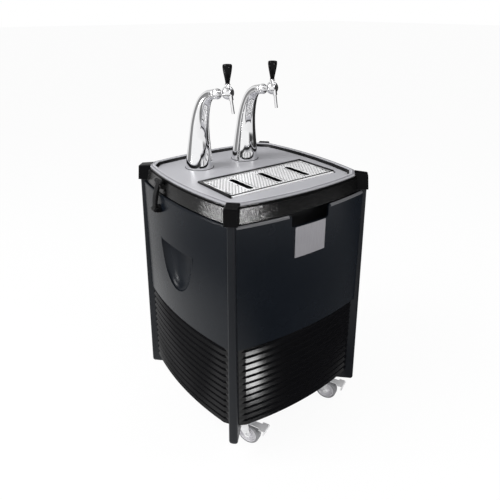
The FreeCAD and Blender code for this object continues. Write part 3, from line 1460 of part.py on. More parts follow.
def latch_strap(side):
    out, z = latch_pin()
    bar_out = lug_outer() - LATCH_BAR_RADIUS
    bar_z = LUG_TOP + LATCH_GAP + LATCH_BAR_RADIUS
    half = LATCH_EYE_WIDTH / 2
    bar_half = half + LATCH_GAP + LUG_WIDTH + LATCH_BAR_OVER
    middle = V(side * ((out + bar_out) / 2 + LATCH_BOW), 0, (z + bar_z) / 2)
    thick = LATCH_STRAP_THICK / 2

    def edge(shift):
        low = V(side * (out + shift), 0, z)
        mid = V(middle.x + side * shift, 0, middle.z)
        high = V(side * (bar_out + shift), 0, bar_z)
        return Part.Arc(low, mid, high).toShape()

    outer, inner = edge(thick), edge(-thick)
    ends = [(outer.Vertexes[0].Point, inner.Vertexes[0].Point),
            (outer.Vertexes[-1].Point, inner.Vertexes[-1].Point)]
    lines = [Part.LineSegment(a, b).toShape() for a, b in ends]
    wire = Part.Wire(Part.__sortEdges__([outer, inner] + lines))
    web = Part.Face(wire).extrude(V(0, 2 * half, 0))
    web.translate(V(0, LATCH_Y - half, 0))
    eye = rod(LATCH_EYE_RADIUS, (side * out, LATCH_Y - half, z), (side * out, LATCH_Y + half, z))
    bar = rod(LATCH_BAR_RADIUS, (side * bar_out, LATCH_Y - bar_half, bar_z),
              (side * bar_out, LATCH_Y + bar_half, bar_z))
    strap = fused([web, eye, bar])
    bore = LATCH_PIN_RADIUS + LATCH_PIN_GAP
    return strap.cut(rod(bore, (side * out, LATCH_Y - half, z), (side * out, LATCH_Y + half, z)))


# ---------------------------------------------------------------- castors
# A castor is drawn with its swivel axis on Z, its wheel trailing along +X, then placed.
def castor_bolt_places():
    places = []
    for sx, sy in CASTORS.values():
        for bx in (-1, 1):
            for by in (-1, 1):
                places.append((sx * CASTOR_X + bx * (PLATE_HALF_X - BOLT_INSET_X),
                               sy * CASTOR_Y + by * (PLATE_HALF_Y - BOLT_INSET_Y)))
    return places


def castor_plate(x, y):
    top = CASTOR_TOP
    low = top - CASTOR_PLATE_THICK
    body = box((x - PLATE_HALF_X, y - PLATE_HALF_Y, low), (x + PLATE_HALF_X, y + PLATE_HALF_Y, top))
    race = rod(RACE_RADIUS, (x, y, low - RACE_HEIGHT), (x, y, low))
    bore = rod(KINGPIN_RADIUS + RUN_GAP, (x, y, low - RACE_HEIGHT), (x, y, top))
    body = fused([body, race]).cut(bore)
    return body.common(diagonal_limit(POST_ROOT - FACE_GAP, low - RACE_HEIGHT, top))


def castor_plates():
    plates = []
    for sx, sy in CASTORS.values():
        plates.append(castor_plate(sx * CASTOR_X, sy * CASTOR_Y))
    for x, y in castor_bolt_places():
        hole = rod(BOLT_HOLE_RADIUS, (x, y, CASTOR_TOP - CASTOR_PLATE_THICK), (x, y, CASTOR_TOP))
        plates = [body.cut(hole) for body in plates]
    return plates


def castor_bolts():
    bolts = []
    low = CASTOR_TOP - CASTOR_PLATE_THICK
    for x, y in castor_bolt_places():
        inside = max(abs(x), abs(y)) < PAN_HALF - PAN_WALL - BOLT_HEAD_RADIUS
        top = PAN_FLOOR if inside else PAN_BOTTOM
        shank = rod(BOLT_RADIUS, (x, y, low), (x, y, top + BOLT_HEAD))
        head = rod(BOLT_HEAD_RADIUS, (x, y, low - BOLT_HEAD), (x, y, low))
        nut = rod(BOLT_HEAD_RADIUS, (x, y, top), (x, y, top + BOLT_HEAD))
        bolts.append(fused([shank, head, nut]))
    return bolts


def crown_top():
    return CASTOR_TOP - CASTOR_PLATE_THICK - RACE_HEIGHT - SIDE_GAP


def castor_fork():
    top = crown_top()
    low = top - CROWN_THICK
    inner = HUB_HALF + SIDE_GAP
    outer = inner + FORK_WALL
    pieces = [
        box((-CROWN_BACK, -outer, low), (CROWN_FRONT, outer, top)),
        rod(KINGPIN_RADIUS, (0, 0, low), (0, 0, CASTOR_TOP - SIDE_GAP)),
    ]
    axle_z = WHEEL_RADIUS
    boss = HUB_RADIUS - FORK_WALL
    outline = [(-CROWN_BACK, top), (CROWN_FRONT, top), (TRAIL + boss, axle_z),
               (TRAIL, axle_z - boss), (TRAIL - boss, axle_z - boss / 2)]
    for side in (-1, 1):
        ys = sorted((side * inner, side * outer))
        pieces.append(prism(outline, ys[0], ys[1]))
        pieces.append(rod(boss, (TRAIL, ys[0], axle_z), (TRAIL, ys[1], axle_z)))
    fork = fused(pieces)
    fork = fork.cut(rod(AXLE_RADIUS, (TRAIL, -outer, axle_z), (TRAIL, outer, axle_z)))
    pivot_z = pedal_top() - PEDAL_THICK / 2
    hole = rod(PEDAL_PIN_RADIUS + RUN_GAP, (PEDAL_PIVOT, -outer, pivot_z),
               (PEDAL_PIVOT, outer, pivot_z))
    return fork.cut(hole)


def castor_axle():
    outer = HUB_HALF + SIDE_GAP + FORK_WALL
    z = WHEEL_RADIUS
    head = AXLE_RADIUS * 1.7
    return fused([
        rod(AXLE_RADIUS, (TRAIL, -outer - 4, z), (TRAIL, outer + 4, z)),
        rod(head, (TRAIL, -outer - 4, z), (TRAIL, -outer, z)),
        rod(head, (TRAIL, outer, z), (TRAIL, outer + 4, z)),
    ])


def castor_wheel():
    r, half = WHEEL_RADIUS, WHEEL_WIDTH / 2
    rim = r - TREAD_DEPTH
    bore = AXLE_RADIUS + RUN_GAP
    web = half - DISH_DEPTH
    shoulder = TREAD_DEPTH / 2
    right = [(bore, HUB_HALF), (HUB_RADIUS, HUB_HALF), (HUB_RADIUS + 1, web),
             (rim - 3, web), (rim - 1, half), (r - shoulder, half), (r - 1.0, half - 1.6),
             (r, half - shoulder)]
    left = [(radius, -y) for radius, y in reversed(right)]
    wheel = turned(right + left)
    wheel.rotate(V(0, 0, 0), FORWARD, 90)
    wheel.translate(V(TRAIL, 0, WHEEL_RADIUS))
    return wheel


def pedal_top():
    return POST_BOTTOM - PEDAL_CLEAR


def brake_pedal():
    top = pedal_top()
    low = top - PEDAL_THICK
    start = PEDAL_PIVOT - PEDAL_THICK
    tread = PEDAL_REACH - PEDAL_TREAD
    neck = box((start, -PEDAL_NECK_HALF, low), (tread, PEDAL_NECK_HALF, top))
    outline = [(tread, low), (tread, top), (PEDAL_REACH - 3, top), (PEDAL_REACH, top - 4),
               (PEDAL_REACH - 4, top - PEDAL_LIP), (PEDAL_REACH - 9, top - PEDAL_LIP),
               (PEDAL_REACH - 6, low)]
    tip = prism(outline, -PEDAL_HALF, PEDAL_HALF)
    outer = HUB_HALF + SIDE_GAP + FORK_WALL
    pin_z = top - PEDAL_THICK / 2
    pin = rod(PEDAL_PIN_RADIUS, (PEDAL_PIVOT, -outer, pin_z), (PEDAL_PIVOT, outer, pin_z))
    return fused([neck, tip, pin])


# ---------------------------------------------------------------- build
def build_cabinet():
    save("base_pan", base_pan())
    save("mid_shelf", mid_shelf())
    save("castor_plates", *castor_plates())
    save("castor_bolts", *castor_bolts())
    save("front_panel", front_panel())
    side = grip_panel()
    save("left_panel", placed(side, 0, 0, LEFT))
    save("right_panel", placed(side, 0, 0, RIGHT))
    rear = placed(rear_panel(), 0, 0, REAR)
    for cutter in fitting_holes():
        rear = rear.cut(cutter)
    save("rear_panel", rear)
    post = corner_post()
    save("corner_posts", *[placed(post, 0, 0, angle) for angle in (45, 135, 225, 315)])
    louvres = grille()
    for name, angle in (("front", FRONT), ("right", RIGHT), ("rear", REAR), ("left", LEFT)):
        save(name + "_grille", placed(louvres, 0, 0, angle))
    save("name_plate", name_plate())
    save("latch_anchors", latch_anchor(-1), latch_anchor(1))


def build_bath():
    save("bath_insulation", bath_insulation())
    save("bath_tank", bath_tank())
    save("bath_cover", bath_cover())
    save("evaporator_coil", evaporator_coil())
    save("beer_coils", *[beer_coil(x) for x in coil_places().values()])
    save("line_couplings", *[line_coupling(x) for x, _ in COLUMNS.values()])
    save("agitator_motor", agitator_motor())
    save("agitator_shaft", agitator_shaft())
    save("beer_inlets", *beer_inlets())
    save("drain_spigot", drain_spigot())
    save("power_inlet", power_inlet())


def build_refrigeration():
    save("compressor", compressor())
    save("condenser", condenser())
    save("fan_motor", fan_motor())
    save("fan_blade", fan_blade())
    save("control_box", control_box())


def build_lid():
    save("lid_rim", lid_rim())
    cap = corner_cap()
    save("corner_caps", *[placed(cap, 0, 0, angle) for angle in (45, 135, 225, 315)])
    save("deck", deck())
    save("drip_tray", drip_tray())
    save("drip_grid", drip_grid())


def build_taps():
    shapes = {
        "column": column(), "tap_body": tap_body(), "tap_lever": tap_lever(),
        "tap_knob": tap_knob(),
    }
    shared = {
        "column_nuts": column_nut(), "collar_nuts": collar_nut(), "nozzles": nozzle(),
        "beer_tails": beer_tail(),
    }
    for side, (x, angle) in COLUMNS.items():
        for name, shape in shapes.items():
            save(side + "_" + name, placed(shape, x, COLUMN_Y, angle, DECK_TOP))
    for name, shape in shared.items():
        save(name, *[placed(shape, x, COLUMN_Y, angle, DECK_TOP)
                     for x, angle in COLUMNS.values()])


def build_latches():
    save("left_latch_strap", latch_strap(-1))
    save("right_latch_strap", latch_strap(1))


def build_castors():
    fork, axle, wheel, pedal = castor_fork(), castor_axle(), castor_wheel(), brake_pedal()
    for name, (sx, sy) in CASTORS.items():
        x, y = sx * CASTOR_X, sy * CASTOR_Y
        save(name + "_fork", placed(fork, x, y, CASTOR_HEADING),
             placed(axle, x, y, CASTOR_HEADING))
        save(name + "_wheel", placed(wheel, x, y, CASTOR_HEADING))
        if sy < 0:
            save(name + "_brake_pedal", placed(pedal, x, y, CASTOR_HEADING))


os.makedirs("parts", exist_ok=True)
build_cabinet()
build_bath()
build_refrigeration()
build_lid()
build_taps()
build_latches()
build_castors()
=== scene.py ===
import json
import math

import bmesh
import bpy
from mathutils import Matrix, Vector


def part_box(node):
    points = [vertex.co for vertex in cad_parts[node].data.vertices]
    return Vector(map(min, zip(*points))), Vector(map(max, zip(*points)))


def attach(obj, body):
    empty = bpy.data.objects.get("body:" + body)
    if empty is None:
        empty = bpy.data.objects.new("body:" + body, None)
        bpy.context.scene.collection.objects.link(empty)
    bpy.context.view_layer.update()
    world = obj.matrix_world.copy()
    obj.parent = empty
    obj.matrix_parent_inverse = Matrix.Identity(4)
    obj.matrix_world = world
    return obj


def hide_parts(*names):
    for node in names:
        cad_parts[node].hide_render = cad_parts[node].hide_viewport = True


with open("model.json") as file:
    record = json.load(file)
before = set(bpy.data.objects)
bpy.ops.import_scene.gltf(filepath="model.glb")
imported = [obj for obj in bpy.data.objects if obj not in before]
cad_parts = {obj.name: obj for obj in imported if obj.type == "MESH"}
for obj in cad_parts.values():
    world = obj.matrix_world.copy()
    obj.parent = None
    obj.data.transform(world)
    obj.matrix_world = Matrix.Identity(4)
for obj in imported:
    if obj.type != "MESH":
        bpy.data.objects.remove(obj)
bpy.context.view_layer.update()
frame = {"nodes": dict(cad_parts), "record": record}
NODES = frame["nodes"]
SCENE = bpy.context.scene

# ---------------------------------------------------------------- sizes, in metres
BOW = 1.080                 # plan radius of the bowed sides
DECK_DEPTH = 0.2555         # centre of the lid to the middle of the deck's outer edge
DECK_TOP = 0.842
LIP_WIDTH = 0.013
LIP_SLOPE = 0.004           # run of the inner side of the lip
LIP_RISE = 0.010            # deck to the top of the lip
CAP_HALF = 0.019
# The bead on the lip carries a painted highlight and the band outside it painted shade.
LIP_LINE = 0.2474           # centre of the lid to the bead on the lip
BEAD_WIDTH = 0.0018
BEAD_RISE = 0.0005
BAND_RISE = 0.0002          # the flat band outside the bead
BAND_MARGIN = 0.0006
SEAL_PROUD = 0.0006
RIM_DEPTH = 0.2628          # centre of the lid to the rim's face at RIM_LEVEL
RIM_LEVEL = 0.8275
RIM_SLOPE = 0.195
RIM_BAND = 0.0062

POST_FOOT = 0.082
POST_CAP = 0.804            # underside of the corner caps
POST_GAP = 0.0003
POST_ROOT = 0.30404         # distances along the diagonal
POST_TIP_TOP = 0.35364
POST_TIP_FOOT = 0.37485
POST_HALF_TOP = 0.0105
POST_HALF_FOOT = 0.0140
POST_ROUND = 0.0056         # rounding of the two long edges of the nose
POST_CROWN = 0.0007         # rise of the nose between them
POST_TOE = ((0.0, 0.0080), (0.0010, 0.0056), (0.0028, 0.0034), (0.0056, 0.0016),
            (0.0090, 0.0005), (0.0130, 0.0))    # rounding of the foot: rise, shrink

SLATS = 12                  # slats of a grille
SLAT_COVER = 0.67           # height of a slat as a share of the pitch
SLAT_SET_IN = 0.008         # its top lies this far behind its foot
SLAT_END = 0.024            # its turned-in ends
SLAT_TUCK = 0.007
# Bands of painted shade over the slats stand for the shaded gaps of a grille.
SLAT_SHOWN = 0.60           # share of a slat below the band of painted shade
SHADE_TOP = 0.985          # share of a slat where the band of painted shade ends
SHADE_PROUD = 0.0004
SHADE_RIB_PITCH = 0.0068
PANEL_DEPTH = 0.276         # centre of the cabinet to a face, at the top
FACE_GAP = 0.0003
NOTCH_REACH = 0.0765        # middle of the front to the straight top edge beside the notch
EDGE_PROFILE = ((0.0004, 0.0075), (0.0005, 0.0040), (-0.0007, 0.0012), (-0.0036, -0.0003),
                (-0.0040, 0.0006), (-0.0014, 0.0072))   # outward, below the top

GRID_HOLE = 0.0029
GRID_PITCH_X = 0.0098
GRID_PITCH_Y = 0.0074
GRID_BORDER = 0.0065
GRID_SHEET = 0.0012
TRAY_PROUD = 0.0036
GRID_APRON = 0.0079         # front margin over the edge of the tray
SLOT_PLACES = (-0.105, 0.0, 0.105)
SLOT_HALF = 0.0102
SLOT_REACH = 0.042          # middle of a slot to the centre of its round end
SLOT_Y = -0.094
SLOT_LAND = 0.0125          # half width of the plain strip round a slot

COLUMN_FOOT_RADIUS = 0.044
COLUMN_TOE = {"left": -86.2, "right": -93.8}
COLUMN_STATIONS = (         # reach forward, height above the deck, radius
    (0.0, 0.0, 0.0440),
    (0.0010, 0.025, 0.0405),
    (0.0030, 0.062, 0.0360),
    (0.0065, 0.104, 0.0310),
    (0.0120, 0.140, 0.0275),
    (0.0230, 0.176, 0.0240),
    (0.0380, 0.204, 0.0205),
    (0.0570, 0.221, 0.0165),
    (0.0780, 0.229, 0.0132),
)
STUD_RADIUS = 0.014
STUD_LENGTH = 0.026
LINE_RADIUS = 0.0065
SHANK_TILT = math.radians(10.0)
TAP_REACH = 0.073
KNOB_START = 0.024

CASTORS = ("front_left", "front_right", "rear_left", "rear_right")
HEADING = math.radians(-65.0)
TRAIL = 0.027
FORK_FACE = 0.0180          # middle of a wheel to the outside of its fork
RACE_TOP = 0.0988

LATCH_EYE = 0.008
LATCH_BAR = 0.0065
LATCH_BOW = 0.006
LATCH_HALF = 0.010
LATCH_BAR_HALF = 0.0194
LATCH_PIN = 0.0031
LATCH_OUTER = 0.0045
LATCH_INNER = 0.0085
STRAP_START = 0.11          # share of the strap's arc where its body leaves the eye
RIB_START, RIB_END = 0.22, 0.70
RIB_COUNT = 7
RIB_RISE = 0.0008

FLOOR_HALF = 40.0
FLOOR_SHOWN = 0.93          # share of plain white in the floor that the camera sees
AMBIENT = 0.60
CAMERA_PLACE = (-0.8959, -1.1957, 1.2954)
CAMERA_AHEAD = (0.5383, 0.7208, -0.4368)
SENSOR_WIDTH = 36.0         # millimetres, as is the lens
LENS = 36.0 * 1.0022


# ---------------------------------------------------------------- materials
def new_material(name):
    mat = bpy.data.materials.new(name)
    mat.use_nodes = True
    tree = mat.node_tree
    return mat, tree, tree.nodes["Principled BSDF"]


def node(tree, kind, **values):
    n = tree.nodes.new(kind)
    for key, value in values.items():
        if key in n.inputs:
            n.inputs[key].default_value = value
        else:
            setattr(n, key, value)
    return n


def math_node(tree, operation, *values):
    n = node(tree, "ShaderNodeMath", operation=operation)
    for socket, value in zip(n.inputs, values):
        if isinstance(value, (int, float)):
            socket.default_value = value
        else:
            tree.links.new(value, socket)
    return n.outputs[0]


def noise(tree, coords, scale, detail=3.0, rough=0.5, stretch=None):
    """Noise over the part's own coordinates, in metres."""
    source = coords.outputs["Object"]
    if stretch:
        mapping = node(tree, "ShaderNodeMapping")
        mapping.inputs["Scale"].default_value = stretch
        tree.links.new(source, mapping.inputs["Vector"])
        source = mapping.outputs["Vector"]
    n = node(tree, "ShaderNodeTexNoise", Scale=scale, Detail=detail, Roughness=rough)
    tree.links.new(source, n.inputs["Vector"])
    return n.outputs["Fac"]


def spread(tree, value, low, high, start=0.0, end=1.0, smooth=False):
    m = node(tree, "ShaderNodeMapRange")
    if smooth:
        m.interpolation_type = "SMOOTHSTEP"
    m.inputs["From Min"].default_value = start
    m.inputs["From Max"].default_value = end
    m.inputs["To Min"].default_value = low
    m.inputs["To Max"].default_value = high
    tree.links.new(value, m.inputs["Value"])
    return m.outputs["Result"]


def tint(tree, factor, first, second):
    mix = node(tree, "ShaderNodeMix", data_type="RGBA")
    mix.inputs["A"].default_value = (*first, 1)
    mix.inputs["B"].default_value = (*second, 1)
    tree.links.new(factor, mix.inputs["Factor"])
    return mix.outputs["Result"]


def bump(tree, bsdf, height, distance):
    b = node(tree, "ShaderNodeBump", Strength=1.0, Distance=distance)
    tree.links.new(height, b.inputs["Height"])
    tree.links.new(b.outputs["Normal"], bsdf.inputs["Normal"])


def plastic(name, dark, light, rough, grain, depth, specular=0.15, blotch=9.0, span=0.06,
            coat=0.0, detail=2.0):
    """Moulded plastic or rubber: slow colour and roughness drift under a fine grain."""
    mat, tree, bsdf = new_material(name)
    coords = node(tree, "ShaderNodeTexCoord")
    slow = noise(tree, coords, blotch, 3.0)
    tree.links.new(tint(tree, slow, dark, light), bsdf.inputs["Base Color"])
    tree.links.new(spread(tree, slow, rough - span, rough + span), bsdf.inputs["Roughness"])
    bsdf.inputs["Specular IOR Level"].default_value = specular
    bsdf.inputs["Coat Weight"].default_value = coat
    bsdf.inputs["Coat Roughness"].default_value = 0.06
    bump(tree, bsdf, noise(tree, coords, grain, detail, 0.55), depth)
    return mat


def metal(name, dark, light, rough, stretch=None, grain=600.0, depth=0.00002, span=0.05,
          metallic=1.0):
    """Metal with drawn or brushed lines along one axis, or plain fine wear."""
    mat, tree, bsdf = new_material(name)
    coords = node(tree, "ShaderNodeTexCoord")
    slow = noise(tree, coords, 14.0, 3.0)
    fine = noise(tree, coords, grain, 2.0, 0.6, stretch)
    tree.links.new(tint(tree, fine, dark, light), bsdf.inputs["Base Color"])
    tree.links.new(spread(tree, slow, rough - span, rough + span), bsdf.inputs["Roughness"])
    bsdf.inputs["Metallic"].default_value = metallic
    if depth:
        bump(tree, bsdf, fine, depth)
    return mat


def ribbed_shade(name, dark, light, pitch):
    """Near-black painted shade with fine upright stripes, the lighter stripes painted light on ribs
    behind a gap, over a matching rib bump.
    """
    mat, tree, bsdf = new_material(name)
    coords = node(tree, "ShaderNodeTexCoord")
    split = node(tree, "ShaderNodeSeparateXYZ")
    tree.links.new(coords.outputs["Object"], split.inputs[0])
    along = math_node(tree, "ADD", split.outputs["X"], split.outputs["Y"])
    wave = math_node(tree, "SINE", math_node(tree, "MULTIPLY", along, 2 * math.pi / pitch))
    tree.links.new(tint(tree, spread(tree, wave, 0.0, 1.0, 0.2, 0.9), dark, light),
                   bsdf.inputs["Base Color"])
    bsdf.inputs["Roughness"].default_value = 0.7
    bsdf.inputs["Specular IOR Level"].default_value = 0.05
    bump(tree, bsdf, wave, 0.0004)
    return mat


MATERIALS = {
    "cabinet_plastic": plastic("cabinet_plastic", (0.0036, 0.0054, 0.0086),
                               (0.0052, 0.0074, 0.0114), 0.27, 900.0, 0.00004, specular=0.20,
                               span=0.02),
    "post_plastic": plastic("post_plastic", (0.0075, 0.0088, 0.0115), (0.0100, 0.0115, 0.0145),
                            0.34, 900.0, 0.00010, specular=0.22),
    "grille_plastic": plastic("grille_plastic", (0.0018, 0.0018, 0.0024),
                              (0.0032, 0.0032, 0.0040), 0.15, 500.0, 0.00002, specular=0.32,
                              span=0.02),
    # painted shade for the gaps between slats, striped lighter as painted light on ribs behind them
    "gap_screen": ribbed_shade("gap_screen", (0.0010, 0.0010, 0.0014), (0.0080, 0.0078, 0.0095),
                         SHADE_RIB_PITCH),
    "rim_plastic": plastic("rim_plastic", (0.0016, 0.0016, 0.0018), (0.0030, 0.0030, 0.0032),
                           0.13, 420.0, 0.00034, specular=0.60, span=0.02, detail=0.0),
    "cap_plastic": plastic("cap_plastic", (0.0020, 0.0020, 0.0024), (0.0034, 0.0034, 0.0038),
                           0.14, 260.0, 0.00020, specular=0.06, span=0.02, detail=1.0),
    "band_plastic": plastic("band_plastic", (0.0016, 0.0016, 0.0018), (0.0026, 0.0026, 0.0028),
                            0.40, 700.0, 0.00006, specular=0.04),
    # the panel's plastic coloured light grey: a painted highlight on its rounded top edge
    "edge_plastic": plastic("edge_plastic", (0.085, 0.086, 0.092), (0.115, 0.116, 0.123),
                            0.34, 700.0, 0.00006, specular=0.3, blotch=30.0),
    "deck_plastic": plastic("deck_plastic", (0.395, 0.395, 0.420), (0.445, 0.445, 0.470),
                            0.38, 700.0, 0.00010, specular=0.35, blotch=5.0),
    # deck plastic coloured darker: painted shade on the lip's outer band
    "lip_grey": plastic("lip_grey", (0.21, 0.21, 0.23), (0.27, 0.27, 0.29), 0.34, 700.0,
                        0.00010, specular=0.35),
    # deck plastic coloured near white: painted highlight on the lip's bead
    "lip_bright": plastic("lip_bright", (0.62, 0.62, 0.65), (0.70, 0.70, 0.73), 0.22, 700.0,
                          0.00006, specular=0.5),
    "tray_plastic": plastic("tray_plastic", (0.004, 0.004, 0.005), (0.008, 0.008, 0.009),
                            0.35, 900.0, 0.00008, specular=0.2),
    "grid_steel": metal("grid_steel", (0.90, 0.90, 0.91), (0.96, 0.96, 0.97), 0.34,
                        stretch=(0.02, 1, 1), metallic=0.15),
    "plate_steel": metal("plate_steel", (0.25, 0.245, 0.265), (0.42, 0.41, 0.435), 0.36,
                         stretch=(1, 1, 0.03), grain=900.0, metallic=0.45),
    "chrome": metal("chrome", (0.86, 0.86, 0.87), (0.91, 0.91, 0.92), 0.04, grain=90.0,
                    depth=0.0, span=0.010),
    "knob_plastic": plastic("knob_plastic", (0.0020, 0.0020, 0.0024), (0.0034, 0.0034, 0.0038),
                            0.10, 200.0, 0.00003, specular=0.10, coat=0.06),
    "strap_rubber": plastic("strap_rubber", (0.0040, 0.0040, 0.0046), (0.0075, 0.0075, 0.0082),
                            0.50, 1400.0, 0.00010, specular=0.2),
    "galvanised_steel": metal("galvanised_steel", (0.42, 0.43, 0.45), (0.66, 0.67, 0.69), 0.42,
                              grain=60.0, depth=0.00003, metallic=0.7),
    "castor_zinc": metal("castor_zinc", (0.90, 0.90, 0.91), (0.96, 0.96, 0.97), 0.26,
                         grain=120.0, metallic=0.12),
    "hub_plastic": plastic("hub_plastic", (0.66, 0.65, 0.68), (0.78, 0.77, 0.80), 0.26,
                           500.0, 0.00004, specular=0.5),
    "wheel_rubber": plastic("wheel_rubber", (0.24, 0.24, 0.25), (0.31, 0.31, 0.32),
                            0.50, 1200.0, 0.00010, specular=0.4),
    "foam": plastic("foam", (0.014, 0.014, 0.015), (0.024, 0.024, 0.026), 0.85, 260.0, 0.0010),
    "stainless": metal("stainless", (0.58, 0.58, 0.60), (0.72, 0.72, 0.74), 0.30,
                       stretch=(1, 1, 0.05)),
    "copper": metal("copper", (0.60, 0.28, 0.16), (0.76, 0.42, 0.27), 0.28, grain=80.0),
    "line_plastic": plastic("line_plastic", (0.62, 0.66, 0.70), (0.74, 0.78, 0.82), 0.28,
                            300.0, 0.00003, specular=0.5),
    "compressor_paint": plastic("compressor_paint", (0.006, 0.006, 0.007),
                                (0.012, 0.012, 0.013), 0.28, 420.0, 0.00012, specular=0.4),
    "fin_aluminium": metal("fin_aluminium", (0.62, 0.63, 0.65), (0.78, 0.79, 0.81), 0.32,
                           grain=200.0),
    "motor_paint": plastic("motor_paint", (0.10, 0.11, 0.12), (0.15, 0.16, 0.17), 0.36,
                           600.0, 0.00010, specular=0.4),
    "fan_plastic": plastic("fan_plastic", (0.012, 0.012, 0.014), (0.020, 0.020, 0.022), 0.36,
                           800.0, 0.00008),
    "fitting_brass": metal("fitting_brass", (0.60, 0.46, 0.20), (0.76, 0.62, 0.34), 0.24,
                           grain=140.0),
    "fitting_plastic": plastic("fitting_plastic", (0.0030, 0.0030, 0.0036),
                               (0.0060, 0.0060, 0.0068), 0.40, 900.0, 0.00010),
}

for part in frame["record"]["subparts"]:
    mesh = NODES[part["node"]].data
    mesh.materials.clear()
    mesh.materials.append(MATERIALS[part["material_slot"]])


# ---------------------------------------------------------------- building pieces
def piece(name, verts, faces, mat, body, slot=None, replaces=(), angle=35.0):
    """A mesh piece in the part's frame that rides on a body."""
    mesh = bpy.data.meshes.new(name)
    mesh.from_pydata([tuple(v) for v in verts], [], faces)
    mesh.validate()
    bm = bmesh.new()
    bm.from_mesh(mesh)
    bmesh.ops.remove_doubles(bm, verts=bm.verts, dist=1e-6)
    bmesh.ops.recalc_face_normals(bm, faces=bm.faces)
    bm.to_mesh(mesh)
    bm.free()
    mesh.polygons.foreach_set("use_smooth", [True] * len(mesh.polygons))
    mesh.set_sharp_from_angle(angle=math.radians(angle))
    mesh.materials.append(MATERIALS[mat])
    obj = bpy.data.objects.new(name, mesh)
    SCENE.collection.objects.link(obj)
    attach(obj, body)
    if replaces:
        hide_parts(*replaces)
    return obj


def grid_faces(rows, columns, close_rows=False):
    """Faces of rows of closed rings."""
    faces = []
    for r in range(rows if close_rows else rows - 1):
        for c in range(columns):
            a = r * columns + c
            b = r * columns + (c + 1) % columns
            d = ((r + 1) % rows) * columns + c
            e = ((r + 1) % rows) * columns + (c + 1) % columns
            faces.append((a, b, e, d))
    return faces


def loft(rings, close_rows=False):
    """Vertices and faces through equal closed rings, with flat ends or end to end."""
    count = len(rings[0])
    verts = [Vector(p) for ring in rings for p in ring]
    faces = grid_faces(len(rings), count, close_rows)
    if not close_rows:
        faces.append(tuple(reversed(range(count))))
        faces.append(tuple(range(len(verts) - count, len(verts))))
    return verts, faces


def circle(count):
    return [(math.cos(2 * math.pi * i / count), math.sin(2 * math.pi * i / count))
            for i in range(count)]


def lathe(profile, place, axis=(0, 0, 1), segments=64, closed=False):
    """Turn a (radius, height) outline about an axis through a place."""
    turn = Vector(axis).normalized().to_track_quat("Z", "Y").to_matrix()
    rings = []
    for radius, height in profile:
        rings.append([Vector(place) + turn @ Vector((radius * c, radius * s, height))
                      for c, s in circle(segments)])
    return loft(rings, close_rows=closed)


def joined(*parts):
    verts, faces = [], []
    for more_verts, more_faces in parts:
        base = len(verts)
        verts.extend(more_verts)
        faces.extend(tuple(i + base for i in face) for face in more_faces)
    return verts, faces


def turned_about_z(points, angle):
    c, s = math.cos(angle), math.sin(angle)
    return [(x * c - y * s, x * s + y * c, z) for x, y, z in points]


def spline_rows(rows, steps):
    """Rows of numbers on a smooth curve through the given rows."""
    first = [2 * a - b for a, b in zip(rows[0], rows[1])]
    last = [2 * a - b for a, b in zip(rows[-1], rows[-2])]
    knots = [first, *rows, last]
    out = []
    for k in range(len(rows) - 1):
        p = knots[k:k + 4]
        for i in range(steps):
            t = i / steps
            out.append([0.5 * (2 * b + (c - a) * t + (2 * a - 5 * b + 4 * c - d) * t * t
                               + (3 * b - a - 3 * c + d) * t ** 3)
                        for a, b, c, d in zip(*p)])
    out.append(list(rows[-1]))
    return out


